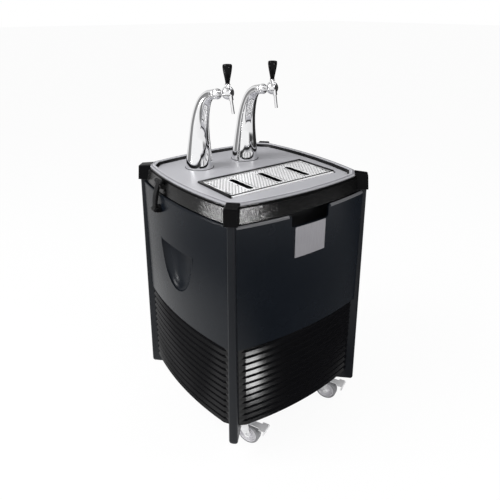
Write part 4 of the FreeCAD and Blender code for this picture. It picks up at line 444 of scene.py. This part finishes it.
# ---------------------------------------------------------------- drip grid
class Sheet:
    """A flat sheet with holes, built from plain cells and cells round a hole."""

    def __init__(self, low, high):
        self.low, self.high = low, high
        self.verts, self.faces = [], []

    def add(self, outline, z):
        base = len(self.verts)
        self.verts.extend((x, y, z) for x, y in outline)
        return list(range(base, base + len(outline)))

    def slab(self, x0, x1, y0, y1):
        corners = [(x0, y0), (x1, y0), (x1, y1), (x0, y1)]
        self.faces.append(tuple(self.add(corners, self.high)))
        self.faces.append(tuple(reversed(self.add(corners, self.low))))

    def side(self, a, b, foot):
        low, high = self.add([a, b], foot), self.add([a, b], self.high)
        self.faces.append((low[0], low[1], high[1], high[0]))

    def hole(self, inner, outer):
        """Fill between a hole and an equal closed outline, and line the hole."""
        top, edge = self.add(inner, self.high), self.add(outer, self.high)
        deep, base = self.add(inner, self.low), self.add(outer, self.low)
        for i in range(len(inner)):
            j = (i + 1) % len(inner)
            self.faces.append((edge[i], edge[j], top[j], top[i]))
            self.faces.append((top[i], top[j], deep[j], deep[i]))
            self.faces.append((deep[i], deep[j], base[j], base[i]))

    def round_hole(self, x0, x1, y0, y1):
        mx, my = (x0 + x1) / 2, (y0 + y1) / 2
        inner, outer = [], []
        for i in range(12):
            t = 2 * math.pi * (i + 0.5) / 12
            c, s = math.cos(t), math.sin(t)
            m = max(abs(c), abs(s))
            inner.append((mx + GRID_HOLE * c, my + GRID_HOLE * s))
            outer.append((mx + c / m * (x1 - x0) / 2, my + s / m * (y1 - y0) / 2))
        self.hole(inner, outer)

    def block(self, x0, x1, y0, y1):
        """Staggered rows of round holes."""
        nx = max(1, round((x1 - x0) / GRID_PITCH_X))
        ny = max(1, round((y1 - y0) / GRID_PITCH_Y))
        px, py = (x1 - x0) / nx, (y1 - y0) / ny
        for row in range(ny):
            a, b = y0 + row * py, y0 + (row + 1) * py
            shift = px / 2 if row % 2 else 0.0
            if shift:
                self.slab(x0, x0 + shift, a, b)
                self.slab(x1 - shift, x1, a, b)
            for c in range(nx - 1 if shift else nx):
                self.round_hole(x0 + shift + c * px, x0 + shift + (c + 1) * px, a, b)

    def slot(self, x, y0, y1):
        """A long round-ended slot in a plain strip from y0 to y1."""
        inner, outer = [], []
        for turn, end in ((0.0, y1), (math.pi, y0)):
            middle = SLOT_Y + (SLOT_REACH if end == y1 else -SLOT_REACH)
            for i in range(9):
                t = turn + math.pi * i / 8
                c, s = math.cos(t), math.sin(t)
                m = max(abs(c), abs(s))
                inner.append((x + SLOT_HALF * c, middle + SLOT_HALF * s))
                outer.append((x + c / m * SLOT_LAND, middle + abs(s) / m * (end - middle)))
        self.hole(inner, outer)


def perforated_sheet():
    (x0, y0, _), (x1, y1, z1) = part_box("drip_grid")
    sheet = Sheet(z1 - GRID_SHEET, z1)
    ix0, ix1 = x0 + GRID_BORDER, x1 - GRID_BORDER
    iy0, iy1 = y0 + GRID_BORDER, y1 - GRID_BORDER
    sheet.slab(x0, x1, y0 - GRID_APRON, iy0)
    sheet.slab(x0, x1, iy1, y1)
    sheet.slab(x0, ix0, iy0, iy1)
    sheet.slab(ix1, x1, iy0, iy1)
    last = ix0
    low = SLOT_Y - SLOT_REACH - SLOT_LAND
    high = SLOT_Y + SLOT_REACH + SLOT_LAND
    for x in SLOT_PLACES:
        sheet.block(last, x - SLOT_LAND, iy0, iy1)
        sheet.block(x - SLOT_LAND, x + SLOT_LAND, iy0, low)
        sheet.block(x - SLOT_LAND, x + SLOT_LAND, high, iy1)
        sheet.slot(x, low, high)
        last = x + SLOT_LAND
    sheet.block(last, ix1, iy0, iy1)
    front = y0 - GRID_APRON
    corners = [(x0, front), (x1, front), (x1, y1), (x0, y1)]
    for a, b in zip(corners, corners[1:] + corners[:1]):
        sheet.side(a, b, DECK_TOP + 0.0002 if a[1] == b[1] == front else sheet.low)
    return sheet.verts, sheet.faces


def tray_edge():
    """Raised dark edge of the drip tray at the rear and the two sides of the grid."""
    low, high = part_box("drip_grid")
    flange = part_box("drip_tray")[1]
    x0, x1, y0, y1 = low.x, high.x, low.y, high.y
    w, d = flange.x - high.x, flange.y - high.y
    outline = [(x0 - w, y0), (x0, y0), (x0, y1), (x1, y1), (x1, y0), (x1 + w, y0),
               (x1 + w, y1 + d), (x0 - w, y1 + d)]
    verts = [(x, y, z) for z in (flange.z - 0.0002, flange.z + TRAY_PROUD)
             for x, y in outline]
    count = len(outline)
    faces = [(i, (i + 1) % count, (i + 1) % count + count, i + count) for i in range(count)]
    for base in (0, count):
        faces += [(base, base + 1, base + 2, base + 7), (base + 2, base + 3, base + 6, base + 7),
                  (base + 3, base + 4, base + 5, base + 6)]
    return verts, faces


piece("drip_grid_sheet", *perforated_sheet(), "grid_steel", "grid", replaces=("drip_grid",))
piece("drip_tray_edge", *tray_edge(), "tray_plastic", "tray")


# ---------------------------------------------------------------- lid trim, with painted shade and a painted highlight on the deck's lip
def bow_points(depth, offset, count, bow=BOW):
    """Points on the bowed front line, left to right, that stops at an offset from the diagonals."""
    shift = bow - depth + offset * math.sqrt(2)
    x0 = (shift - math.sqrt(2 * bow ** 2 - shift ** 2)) / 2
    first = math.asin(x0 / bow)
    out = []
    for i in range(count):
        t = first * (1 - 2 * i / (count - 1))
        out.append((bow * math.sin(t), bow - depth - bow * math.cos(t)))
    return out


def four_sides(depth, offset, z):
    """Closed ring made of four bowed sides with cut corners."""
    ring = []
    for turn in range(4):
        side = [(x, y, z) for x, y in bow_points(depth, offset, 25)]
        ring.extend(turned_about_z(side, turn * math.pi / 2))
    return ring


def lip_step_shade():
    """Thin near-black skin on the inner side of the deck's lip: painted shade on the step there."""
    inside = DECK_DEPTH - LIP_WIDTH
    low, high = inside - LIP_SLOPE, inside - LIP_SLOPE * 0.12
    top = DECK_TOP + LIP_RISE * 0.88
    return [
        four_sides(low - SEAL_PROUD, CAP_HALF, DECK_TOP + 0.0001),
        four_sides(high - SEAL_PROUD, CAP_HALF, top - 0.0003),
        four_sides(high - SEAL_PROUD * 0.5, CAP_HALF, top),
        four_sides(high + 0.0004, CAP_HALF, top),
        four_sides(low + 0.0004, CAP_HALF, DECK_TOP + 0.0001),
    ]


def lip_top(inner, outer, rise):
    """Flat line on the top of the deck's lip, between two depths from the middle."""
    top = DECK_TOP + LIP_RISE
    edge = min(rise, (outer - inner) / 2) / 2
    return [four_sides(depth, CAP_HALF, z) for depth, z in (
        (inner, top - 0.0004), (inner, top + rise * 0.3), (inner + edge, top + rise),
        (outer - edge, top + rise), (outer, top + rise * 0.3), (outer, top - 0.0004))]


def rim_band():
    """Dull black edge along the top of the rim's outer face."""
    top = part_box("lid_rim")[1].z
    rings = []
    for z, out in ((top - RIM_BAND, 0.0002), (top - RIM_BAND + 0.0006, 0.0006),
                   (top - 0.0012, 0.0006), (top - 0.0002, -0.0010), (top - 0.0012, -0.0030),
                   (top - RIM_BAND, -0.0030)):
        depth = RIM_DEPTH - (z - RIM_LEVEL) * RIM_SLOPE + out
        rings.append(four_sides(depth, CAP_HALF, z))
    return rings


# near-black skin on the lip's inner side: painted shade
piece("lip_step_shade", *loft(lip_step_shade(), close_rows=True), "fitting_plastic", "lid")
bead_end = LIP_LINE + BEAD_WIDTH
# outer band of the lip, coloured darker than the deck: painted shade
piece("lip_outer_shade_band", *loft(lip_top(bead_end, DECK_DEPTH - BAND_MARGIN, BAND_RISE),
                              close_rows=True), "lip_grey", "lid", slot="deck_plastic")
# bead on the lip, coloured lighter than the deck: painted highlight
piece("lip_bead_highlight", *loft(lip_top(LIP_LINE, bead_end, BEAD_RISE), close_rows=True),
      "lip_bright", "lid", slot="deck_plastic")
piece("rim_top_band", *loft(rim_band(), close_rows=True), "band_plastic", "lid",
      slot="rim_plastic")


# ---------------------------------------------------------------- corner posts
def post_half(z):
    share = (POST_CAP - z) / (POST_CAP - POST_FOOT)
    return POST_HALF_TOP + (POST_HALF_FOOT - POST_HALF_TOP) * share


def post_ring(z, shrink=0.0):
    """Section of a corner post along +X: a fin with a rounded nose."""
    share = (POST_CAP - z) / (POST_CAP - POST_FOOT)
    half = post_half(z) - shrink
    tip = POST_TIP_TOP + (POST_TIP_FOOT - POST_TIP_TOP) * share - shrink
    root = POST_ROOT + shrink * 0.1
    radius = POST_ROUND
    nose = []
    for i in range(9):
        t = -math.pi / 2 * (1 - i / 8)
        nose.append((tip - POST_CROWN - radius + radius * math.cos(t),
                     -half + radius + radius * math.sin(t)))
    for u in (-0.5, 0.0, 0.5):
        nose.append((tip - POST_CROWN * abs(u), (half - radius) * u))
    nose.extend((x, -y) for x, y in reversed(nose[:9]))
    ring = [(root, half), (root, -half), *nose]
    return [(x, y, z) for x, y in ring]


def post_piece(angle):
    rings = [post_ring(POST_FOOT + rise, shrink) for rise, shrink in POST_TOE]
    steps = 7
    low, high = POST_FOOT + POST_TOE[-1][0], POST_CAP - POST_GAP
    rings += [post_ring(low + (high - low) * (i + 1) / steps) for i in range(steps)]
    return loft([turned_about_z(ring, angle) for ring in rings])


posts = joined(*[post_piece(math.radians(a)) for a in (45, 135, 225, 315)])
piece("corner_fins", *posts, "post_plastic", "cabinet", replaces=("corner_posts",), angle=40)


# ---------------------------------------------------------------- front panel's edge, coloured as a painted highlight
def edge_highlight_strip(x0, x1):
    """Rounded top edge of the front panel between two places, coloured light grey as a painted
    highlight.
    """
    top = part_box("front_panel")[1].z
    rings = []
    for i in range(25):
        x = x0 + (x1 - x0) * i / 24
        y = BOW - PANEL_DEPTH - math.sqrt(BOW ** 2 - x * x)
        rings.append([(x, y - out, top - drop) for out, drop in EDGE_PROFILE])
    return loft(rings)


edge_left = bow_points(PANEL_DEPTH, post_half(POST_CAP) + FACE_GAP, 3)[0][0] + 0.002
# light strip on the front panel's top edge: painted highlight
piece("front_edge_strip", *joined(edge_highlight_strip(edge_left, -NOTCH_REACH),
                                  edge_highlight_strip(NOTCH_REACH, -edge_left)),
      "edge_plastic", "cabinet", slot="cabinet_plastic", angle=50)


# ---------------------------------------------------------------- grille gaps, as bands of painted shade
def slat_line(depth, z):
    """Outer line of a front slat from its left end to its right end."""
    offset = post_half(z) + FACE_GAP
    end_x, end_y = bow_points(depth - SLAT_TUCK, offset, 3, BOW - SLAT_TUCK)[0]
    bend = bow_points(depth, offset, 3)[0][0] + SLAT_END
    line = [(end_x, end_y)]
    for i in range(33):
        x = bend * (1 - i / 16)
        line.append((x, BOW - depth - math.sqrt(BOW ** 2 - x * x)))
    return [*line, (-end_x, end_y)]


def gap_screen(angle):
    """Bands of painted shade over the tops of the slats, standing for the shaded gaps of a grille.
    """
    low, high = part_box("front_grille")
    lean = (-low.y - PANEL_DEPTH) / (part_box("front_panel")[1].z - low.z)
    pitch = (high.z - low.z) / SLATS
    parts = []
    for index in range(SLATS):
        foot = low.z + index * pitch
        head = foot + pitch * SLAT_COVER
        profile = []
        for share, out in ((SLAT_SHOWN, 1), (SHADE_TOP, 1), (SHADE_TOP, -1),
                           (SLAT_SHOWN, -1)):
            z = foot + (head - foot) * share
            depth = -low.y - lean * (z - low.z) - SLAT_SET_IN * share + SHADE_PROUD * out
            profile.append([(x, y, z) for x, y in slat_line(depth, z)])
        rings = [turned_about_z(ring, angle) for ring in zip(*profile)]
        parts.append(loft(rings))
    return joined(*parts)


# dark bands over the slats: painted shade where a grille's gaps would be
for turn, side in enumerate(("front", "right", "rear", "left")):
    piece(side + "_grille_shade_bands", *gap_screen(turn * math.pi / 2), "gap_screen", "cabinet",
          slot="grille_plastic", angle=30)


# ---------------------------------------------------------------- castors
AXLE = Vector((-math.sin(HEADING), math.cos(HEADING), 0.0))
AHEAD = Vector((math.cos(HEADING), math.sin(HEADING), 0.0))
TYRE = [(0.0306, -0.0138), (0.0330, -0.0140), (0.0352, -0.0132), (0.0368, -0.0112),
        (0.0375, -0.0080), (0.0375, -0.0052), (0.0369, -0.0047), (0.0369, -0.0041),
        (0.0375, -0.0036), (0.0375, 0.0036), (0.0369, 0.0041), (0.0369, 0.0047),
        (0.0375, 0.0052), (0.0375, 0.0080), (0.0368, 0.0112), (0.0352, 0.0132),
        (0.0330, 0.0140), (0.0306, 0.0138)]
HUB = [(0.0042, -0.0151), (0.0100, -0.0151), (0.0116, -0.0140), (0.0122, -0.0084),
       (0.0150, -0.0064), (0.0215, -0.0064), (0.0256, -0.0086), (0.0268, -0.0122),
       (0.0282, -0.0134), (0.0306, -0.0134), (0.0306, 0.0134), (0.0282, 0.0134),
       (0.0268, 0.0122), (0.0256, 0.0086), (0.0215, 0.0064), (0.0150, 0.0064),
       (0.0122, 0.0084), (0.0116, 0.0140), (0.0100, 0.0151), (0.0042, 0.0151)]
AXLE_NUT = [(0.0085, 0.0), (0.0085, 0.0008), (0.0066, 0.0008), (0.0066, 0.0038),
            (0.0058, 0.0048), (0.0032, 0.0050), (0.0, 0.0053)]
RACE_CUP = [(0.0255, 0.0), (0.0262, -0.0012), (0.0262, -0.0048), (0.0248, -0.0062),
            (0.0240, -0.0062), (0.0240, 0.0)]
for name in CASTORS:
    low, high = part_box(name + "_wheel")
    centre = (low + high) / 2
    piece(name + "_tyre", *lathe(TYRE, centre, AXLE, 96, closed=True), "wheel_rubber",
          name + "_wheel", angle=50)
    piece(name + "_hub", *lathe(HUB, centre, AXLE, 72, closed=True), "hub_plastic",
          name + "_wheel", slot="castor_zinc", replaces=(name + "_wheel",), angle=40)
    nuts = [lathe(AXLE_NUT, centre + AXLE * FORK_FACE * sign, AXLE * sign, 48)
            for sign in (-1, 1)]
    piece(name + "_axle_nuts", *joined(*nuts), "castor_zinc", name + "_castor", angle=30)
    swivel = centre - AHEAD * TRAIL
    piece(name + "_race_cup", *lathe(RACE_CUP, (swivel.x, swivel.y, RACE_TOP), closed=True),
          "castor_zinc", "cabinet", angle=30)


# ---------------------------------------------------------------- latch straps
def circle_through(a, b, c):
    """Centre and radius of the circle through three plane points."""
    ax, ay, bx, by, cx, cy = *a, *b, *c
    d = 2 * (ax * (by - cy) + bx * (cy - ay) + cx * (ay - by))
    ux = ((ax * ax + ay * ay) * (by - cy) + (bx * bx + by * by) * (cy - ay)
          + (cx * cx + cy * cy) * (ay - by)) / d
    uy = ((ax * ax + ay * ay) * (cx - bx) + (bx * bx + by * by) * (ax - cx)
          + (cx * cx + cy * cy) * (bx - ax)) / d
    return (ux, uy), math.hypot(ax - ux, ay - uy)


def rubber_strap(name, side):
    """Bowed strap with a waist and ribs, between its pin eye and its bar."""
    low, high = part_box(name + "_latch_strap")
    y0 = (low.y + high.y) / 2
    out, back = sorted((abs(low.x), abs(high.x)), reverse=True)
    pin = (out - LATCH_EYE, low.z + LATCH_EYE)
    bar = (back + LATCH_BAR, high.z - LATCH_BAR)
    middle = ((pin[0] + bar[0]) / 2 + LATCH_BOW, (pin[1] + bar[1]) / 2)
    (cx, cz), radius = circle_through(pin, middle, bar)
    t0 = math.atan2(pin[1] - cz, pin[0] - cx)
    t1 = math.atan2(bar[1] - cz, bar[0] - cx)
    rings = []
    steps = 90
    for i in range(steps + 1):
        u = STRAP_START + (1.0 - STRAP_START) * i / steps
        t = t0 + (t1 - t0) * u
        swell = math.sin(math.pi * u)
        half = LATCH_HALF * (0.98 - 0.06 * swell)
        rib = 0.0
        if RIB_START < u < RIB_END:
            share = (u - RIB_START) / (RIB_END - RIB_START)
            rib = RIB_RISE * (0.5 - 0.5 * math.cos(share * 2 * math.pi * RIB_COUNT))
        ring = []
        for c, s in circle(24):
            w = math.copysign(abs(c) ** 0.45, c) * half
            h = math.copysign(abs(s) ** 0.7, s)
            outward = LATCH_OUTER * (0.9 - 0.1 * swell) + rib
            r = radius + h * (outward if h > 0 else LATCH_INNER * (0.55 + 0.45 * swell))
            ring.append((side * (cx + r * math.cos(t)), y0 + w, cz + r * math.sin(t)))
        rings.append(ring)
    half, eye = LATCH_BAR_HALF, LATCH_EYE
    grip = [(0.0, -half), (0.0042, -half), (0.0058, -half + 0.0008), (0.0064, -half + 0.0026),
            (0.0060, -half + 0.0052), (0.0052, -half + 0.0070), (0.0054, -half + 0.0090),
            (0.0064, -0.0080), (0.0064, 0.0080), (0.0054, half - 0.0090),
            (0.0052, half - 0.0070), (0.0060, half - 0.0052), (0.0064, half - 0.0026),
            (0.0058, half - 0.0008), (0.0042, half), (0.0, half)]
    width = LATCH_HALF
    ring_eye = [(LATCH_PIN, -width), (eye - 0.0014, -width), (eye - 0.0004, -width + 0.0006),
                (eye, -width + 0.0018), (eye, width - 0.0018), (eye - 0.0004, width - 0.0006),
                (eye - 0.0014, width), (LATCH_PIN, width)]
    return joined(
        loft(rings),
        lathe(grip, (side * bar[0], y0, bar[1]), (0, 1, 0), 32),
        lathe(ring_eye, (side * pin[0], y0, pin[1]), (0, 1, 0), 40, closed=True))


for name, side in (("left", -1), ("right", 1)):
    piece(name + "_rubber_strap", *rubber_strap(name, side), "strap_rubber", name + "_strap",
          replaces=(name + "_latch_strap",), angle=50)


# ---------------------------------------------------------------- columns and taps
def column_frame(name):
    """Foot of a column and the directions forward and to its left."""
    low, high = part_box(name + "_column")
    turn = math.radians(COLUMN_TOE[name])
    foot = Vector(((low.x + high.x) / 2, high.y - COLUMN_FOOT_RADIUS, low.z + STUD_LENGTH))
    ahead = Vector((math.cos(turn), math.sin(turn), 0))
    return foot, ahead, Vector((-ahead.y, ahead.x, 0))


def tap_frame(name):
    """End of a column and the axis of its tap shank."""
    foot, ahead, _ = column_frame(name)
    reach, height, _ = COLUMN_STATIONS[-1]
    shank = ahead * math.cos(SHANK_TILT) + Vector((0, 0, math.sin(SHANK_TILT)))
    return foot + ahead * reach + Vector((0, 0, height)), shank


def swept_column(name):
    """Smooth bent column that narrows to the tap, with its threaded stud below."""
    foot, ahead, left = column_frame(name)
    up = Vector((0, 0, 1))
    steps = 14
    rows = spline_rows(COLUMN_STATIONS, steps)
    around = circle(112)
    rings = []
    for radius, height in ((LINE_RADIUS, -STUD_LENGTH), (STUD_RADIUS, -STUD_LENGTH),
                           (STUD_RADIUS, 0.0), (COLUMN_FOOT_RADIUS - 0.0008, 0.0)):
        rings.append([foot + up * height + (ahead * c + left * s) * radius for c, s in around])
    for i, (reach, height, radius) in enumerate(rows):
        before, after = rows[max(0, i - 1)], rows[min(len(rows) - 1, i + 1)]
        angle = math.atan2(after[1] - before[1], after[0] - before[0])
        share = min(1.0, max(0.0, 1 - (len(rows) - 1 - i) / steps))
        angle += (SHANK_TILT - angle) * share ** 2 * (3 - 2 * share)
        if i == 0:
            angle, height = math.pi / 2, 0.0006
        across = ahead * math.sin(angle) - up * math.cos(angle)
        centre = foot + ahead * reach + up * height
        rings.append([centre + (across * c + left * s) * radius for c, s in around])
    return loft(rings)


def nut_with_flutes(start, axis, count=24):
    """Collar nut: smooth ring, groove, then a fluted grip."""
    turn = axis.to_track_quat("Z", "Y").to_matrix()
    profile = [(0.0071, 0.0, 0), (0.0118, 0.0, 0), (0.0133, 0.0014, 0), (0.0136, 0.0040, 0),
               (0.0136, 0.0118, 0), (0.0128, 0.0134, 0), (0.0116, 0.0142, 0),
               (0.0114, 0.0170, 0), (0.0120, 0.0184, 0), (0.0136, 0.0192, 0.3),
               (0.0146, 0.0202, 1), (0.0148, 0.0216, 1), (0.0148, 0.0262, 1),
               (0.0144, 0.0276, 1), (0.0132, 0.0288, 0.3), (0.0112, 0.0312, 0),
               (0.0106, 0.0336, 0), (0.0098, 0.0343, 0), (0.0071, 0.0343, 0)]
    rings = []
    for radius, height, flute in profile:
        ring = []
        for i, (c, s) in enumerate(circle(count * 6)):
            r = radius - flute * 0.0008 * (0.5 + 0.5 * math.cos(2 * math.pi * i / 6))
            ring.append(start + turn @ Vector((r * c, r * s, height)))
        rings.append(ring)
    return loft(rings, close_rows=True)


KNOB = [(0.00405, 0.0), (0.0060, 0.0), (0.0066, 0.0006), (0.0066, 0.0016), (0.0058, 0.0026),
        (0.0060, 0.0036), (0.0066, 0.0056), (0.0074, 0.0100), (0.0086, 0.0160),
        (0.0100, 0.0225), (0.0113, 0.0290), (0.0123, 0.0350), (0.0130, 0.0405),
        (0.0132, 0.0440), (0.0130, 0.0466), (0.0124, 0.0483), (0.0112, 0.0494),
        (0.0090, 0.04985), (0.0040, 0.0500), (0.0, 0.0500)]
LEVER_RING = [(0.0056, 0.0), (0.0078, 0.0), (0.0082, 0.0006), (0.0082, 0.0014),
              (0.0070, 0.0024), (0.0056, 0.0028)]
# thin black ring round each column's foot: painted shade where the column meets the deck
COLUMN_FOOT_SHADE = [(0.0436, 0.0), (0.0452, 0.0), (0.0454, 0.0004), (0.0450, 0.0010), (0.0436, 0.0012)]
collars = []
for name in COLUMN_TOE:
    end, shank = tap_frame(name)
    collars.append(nut_with_flutes(end + shank * 0.0002, shank))
    ball = end + shank * TAP_REACH
    foot = column_frame(name)[0]
    piece(name + "_column_swept", *swept_column(name), "chrome", "lid",
          replaces=(name + "_column",), angle=40)
    piece(name + "_knob_turned", *lathe(KNOB, ball + Vector((0, 0, KNOB_START)), segments=48),
          "knob_plastic", name + "_lever", replaces=(name + "_tap_knob",), angle=60)
    piece(name + "_lever_ring", *lathe(LEVER_RING, ball + Vector((0, 0, 0.0200)), segments=40,
                                       closed=True), "chrome", name + "_lever", angle=40)
    # black ring at the column's foot: painted shade
    piece(name + "_column_foot_shade", *lathe(COLUMN_FOOT_SHADE, foot + Vector((0, 0, 0.0001)), segments=96,
                                          closed=True), "strap_rubber", "lid", angle=40)
piece("fluted_collar_nuts", *joined(*collars), "chrome", "lid", replaces=("collar_nuts",),
      angle=40)


# ---------------------------------------------------------------- stage, light and camera
def ramp_of(tree, value, *stops):
    """Brightness along a value from 0 to 1."""
    ramp = node(tree, "ShaderNodeValToRGB")
    tree.links.new(value, ramp.inputs["Fac"])
    elements = ramp.color_ramp.elements
    elements[0].position, elements[1].position = stops[0][0], stops[-1][0]
    elements[0].color = (stops[0][1],) * 3 + (1,)
    elements[1].color = (stops[-1][1],) * 3 + (1,)
    for place, level in stops[1:-1]:
        elements.new(place).color = (level,) * 3 + (1,)
    return ramp.outputs["Color"]


def bearing(tree, x, y):
    """Direction round the part as a share of a turn: 0.25 is the front, 0.5 the right."""
    return spread(tree, math_node(tree, "ARCTAN2", y, x), 0.0, 1.0, -math.pi, math.pi)


def surround(tree, turn):
    """Screens and black flags round the studio near eye level."""
    return ramp_of(tree, turn, (0.0, 1.0), (0.245, 1.0), (0.285, 0.05), (0.655, 0.02),
                   (0.668, 0.50), (0.75, 0.90), (0.80, 0.85), (0.828, 0.22), (0.905, 0.30),
                   (0.920, 0.20), (0.930, 1.0), (1.0, 1.0))


def emission_over(tree, share, first, colour=None):
    """Replace a share of a shader by white light, or light of a given brightness."""
    emission = node(tree, "ShaderNodeEmission", Strength=1.0)
    if colour is not None:
        tree.links.new(colour, emission.inputs["Color"])
    mix = node(tree, "ShaderNodeMixShader")
    tree.links.new(share, mix.inputs[0])
    tree.links.new(first, mix.inputs[1])
    tree.links.new(emission.outputs[0], mix.inputs[2])
    return mix.outputs[0]


def floor_material():
    """White floor that keeps the shadow; gloss sees it dark in front and white behind."""
    mat, tree, bsdf = new_material("floor")
    bsdf.inputs["Base Color"].default_value = (0.92, 0.92, 0.92, 1)
    bsdf.inputs["Roughness"].default_value = 0.9
    bsdf.inputs["Specular IOR Level"].default_value = 0.0
    place = node(tree, "ShaderNodeNewGeometry").outputs["Position"]
    split = node(tree, "ShaderNodeSeparateXYZ")
    tree.links.new(place, split.inputs[0])
    turn = bearing(tree, split.outputs["X"], split.outputs["Y"])
    away = node(tree, "ShaderNodeVectorMath", operation="LENGTH")
    tree.links.new(place, away.inputs[0])
    close = ramp_of(tree, turn, (0.0, 1.0), (0.225, 1.0), (0.262, 0.03), (0.420, 0.20),
                    (0.440, 0.02), (0.655, 0.02), (0.668, 0.95), (1.0, 0.95))
    near = ramp_of(tree, turn, (0.0, 0.20), (0.225, 0.20), (0.262, 0.03), (0.420, 0.20),
                   (0.440, 0.02), (0.655, 0.02), (0.668, 0.95), (0.80, 0.70), (0.88, 0.30),
                   (1.0, 0.20))
    middle = ramp_of(tree, turn, (0.0, 1.0), (0.400, 0.85), (0.415, 0.02), (0.655, 0.02),
                     (0.668, 0.80), (0.905, 0.60), (0.915, 0.20), (0.925, 1.0), (1.0, 1.0))
    seen_by_gloss = close
    for outer, start, end in ((near, 1.0, 1.5), (middle, 1.9, 2.4),
                              (surround(tree, turn), 5.0, 6.0)):
        share = spread(tree, away.outputs["Value"], 0.0, 1.0, start, end, smooth=True)
        mix = node(tree, "ShaderNodeMix", data_type="RGBA")
        tree.links.new(share, mix.inputs["Factor"])
        tree.links.new(seen_by_gloss, mix.inputs["A"])
        tree.links.new(outer, mix.inputs["B"])
        seen_by_gloss = mix.outputs["Result"]
    path = node(tree, "ShaderNodeLightPath")
    shown = math_node(tree, "MULTIPLY", path.outputs["Is Camera Ray"], FLOOR_SHOWN)
    seen = emission_over(tree, shown, bsdf.outputs[0])
    glossy = emission_over(tree, path.outputs["Is Glossy Ray"], seen, seen_by_gloss)
    tree.links.new(glossy, tree.nodes["Material Output"].inputs["Surface"])
    return mat


floor_mesh = bpy.data.meshes.new("floor")
floor_mesh.from_pydata([(-FLOOR_HALF, -FLOOR_HALF, 0), (FLOOR_HALF, -FLOOR_HALF, 0),
                        (FLOOR_HALF, FLOOR_HALF, 0), (-FLOOR_HALF, FLOOR_HALF, 0)],
                       [], [(0, 1, 2, 3)])
floor_mesh.materials.append(floor_material())
floor = bpy.data.objects.new("floor", floor_mesh)
SCENE.collection.objects.link(floor)


def studio_world():
    """Plain white light, a white background, and the surround for gloss."""
    world = bpy.data.worlds.new("studio")
    SCENE.world = world
    world.use_nodes = True
    tree = world.node_tree
    ambient = tree.nodes["Background"]
    ambient.inputs["Color"].default_value = (1, 1, 1, 1)
    ambient.inputs["Strength"].default_value = AMBIENT
    white = node(tree, "ShaderNodeBackground", Color=(1, 1, 1, 1), Strength=1.0)
    studio = node(tree, "ShaderNodeBackground", Strength=1.0)
    coords = node(tree, "ShaderNodeTexCoord")
    split = node(tree, "ShaderNodeSeparateXYZ")
    tree.links.new(coords.outputs["Generated"], split.inputs[0])
    around = surround(tree, bearing(tree, split.outputs["X"], split.outputs["Y"]))
    above = spread(tree, split.outputs["Z"], 0.0, 1.0, 0.40, 0.62, smooth=True)
    mix = node(tree, "ShaderNodeMix", data_type="RGBA")
    tree.links.new(above, mix.inputs["Factor"])
    tree.links.new(around, mix.inputs["A"])
    mix.inputs["B"].default_value = (0.55, 0.55, 0.55, 1)
    tree.links.new(mix.outputs["Result"], studio.inputs["Color"])
    path = node(tree, "ShaderNodeLightPath")
    plain = math_node(tree, "MAXIMUM", path.outputs["Is Camera Ray"],
                      path.outputs["Is Transmission Ray"])
    last = ambient.outputs[0]
    for share, shader in ((path.outputs["Is Glossy Ray"], studio), (plain, white)):
        mix = node(tree, "ShaderNodeMixShader")
        tree.links.new(share, mix.inputs[0])
        tree.links.new(last, mix.inputs[1])
        tree.links.new(shader.outputs[0], mix.inputs[2])
        last = mix.outputs[0]
    tree.links.new(last, tree.nodes["World Output"].inputs["Surface"])


studio_world()


def lamp(name, kind, place, energy, size, target=(0, 0, 0.7)):
    data = bpy.data.lights.new(name, kind)
    data.energy = energy
    if kind == "AREA":
        data.size = size
    else:
        data.shadow_soft_size = size
    obj = bpy.data.objects.new(name, data)
    SCENE.collection.objects.link(obj)
    obj.location = place
    aim = Vector(target) - Vector(place)
    obj.rotation_euler = aim.to_track_quat("-Z", "Y").to_euler()
    obj.visible_camera = False
    return obj


lamp("key", "AREA", (-2.2, 0.6, 2.9), 72, 1.6)
lamp("fill", "AREA", (1.5, -1.9, 2.6), 22, 1.0)
lamp("front_spot", "POINT", (0.22, -2.47, 0.76), 34, 0.16)
lamp("left_spot", "POINT", (-1.16, 0.40, 0.70), 4.5, 0.065)

camera = bpy.data.cameras.new("camera")
camera.sensor_width = SENSOR_WIDTH
camera.lens = LENS
camera.clip_start = 0.05
eye = bpy.data.objects.new("camera", camera)
SCENE.collection.objects.link(eye)
ahead = Vector(CAMERA_AHEAD).normalized()
right = ahead.cross(Vector((0, 0, 1))).normalized()
above = right.cross(ahead)
eye.matrix_world = (Matrix.Translation(CAMERA_PLACE)
                    @ Matrix((right, above, -ahead)).transposed().to_4x4())
SCENE.camera = eye
SCENE.view_settings.view_transform = "Standard"
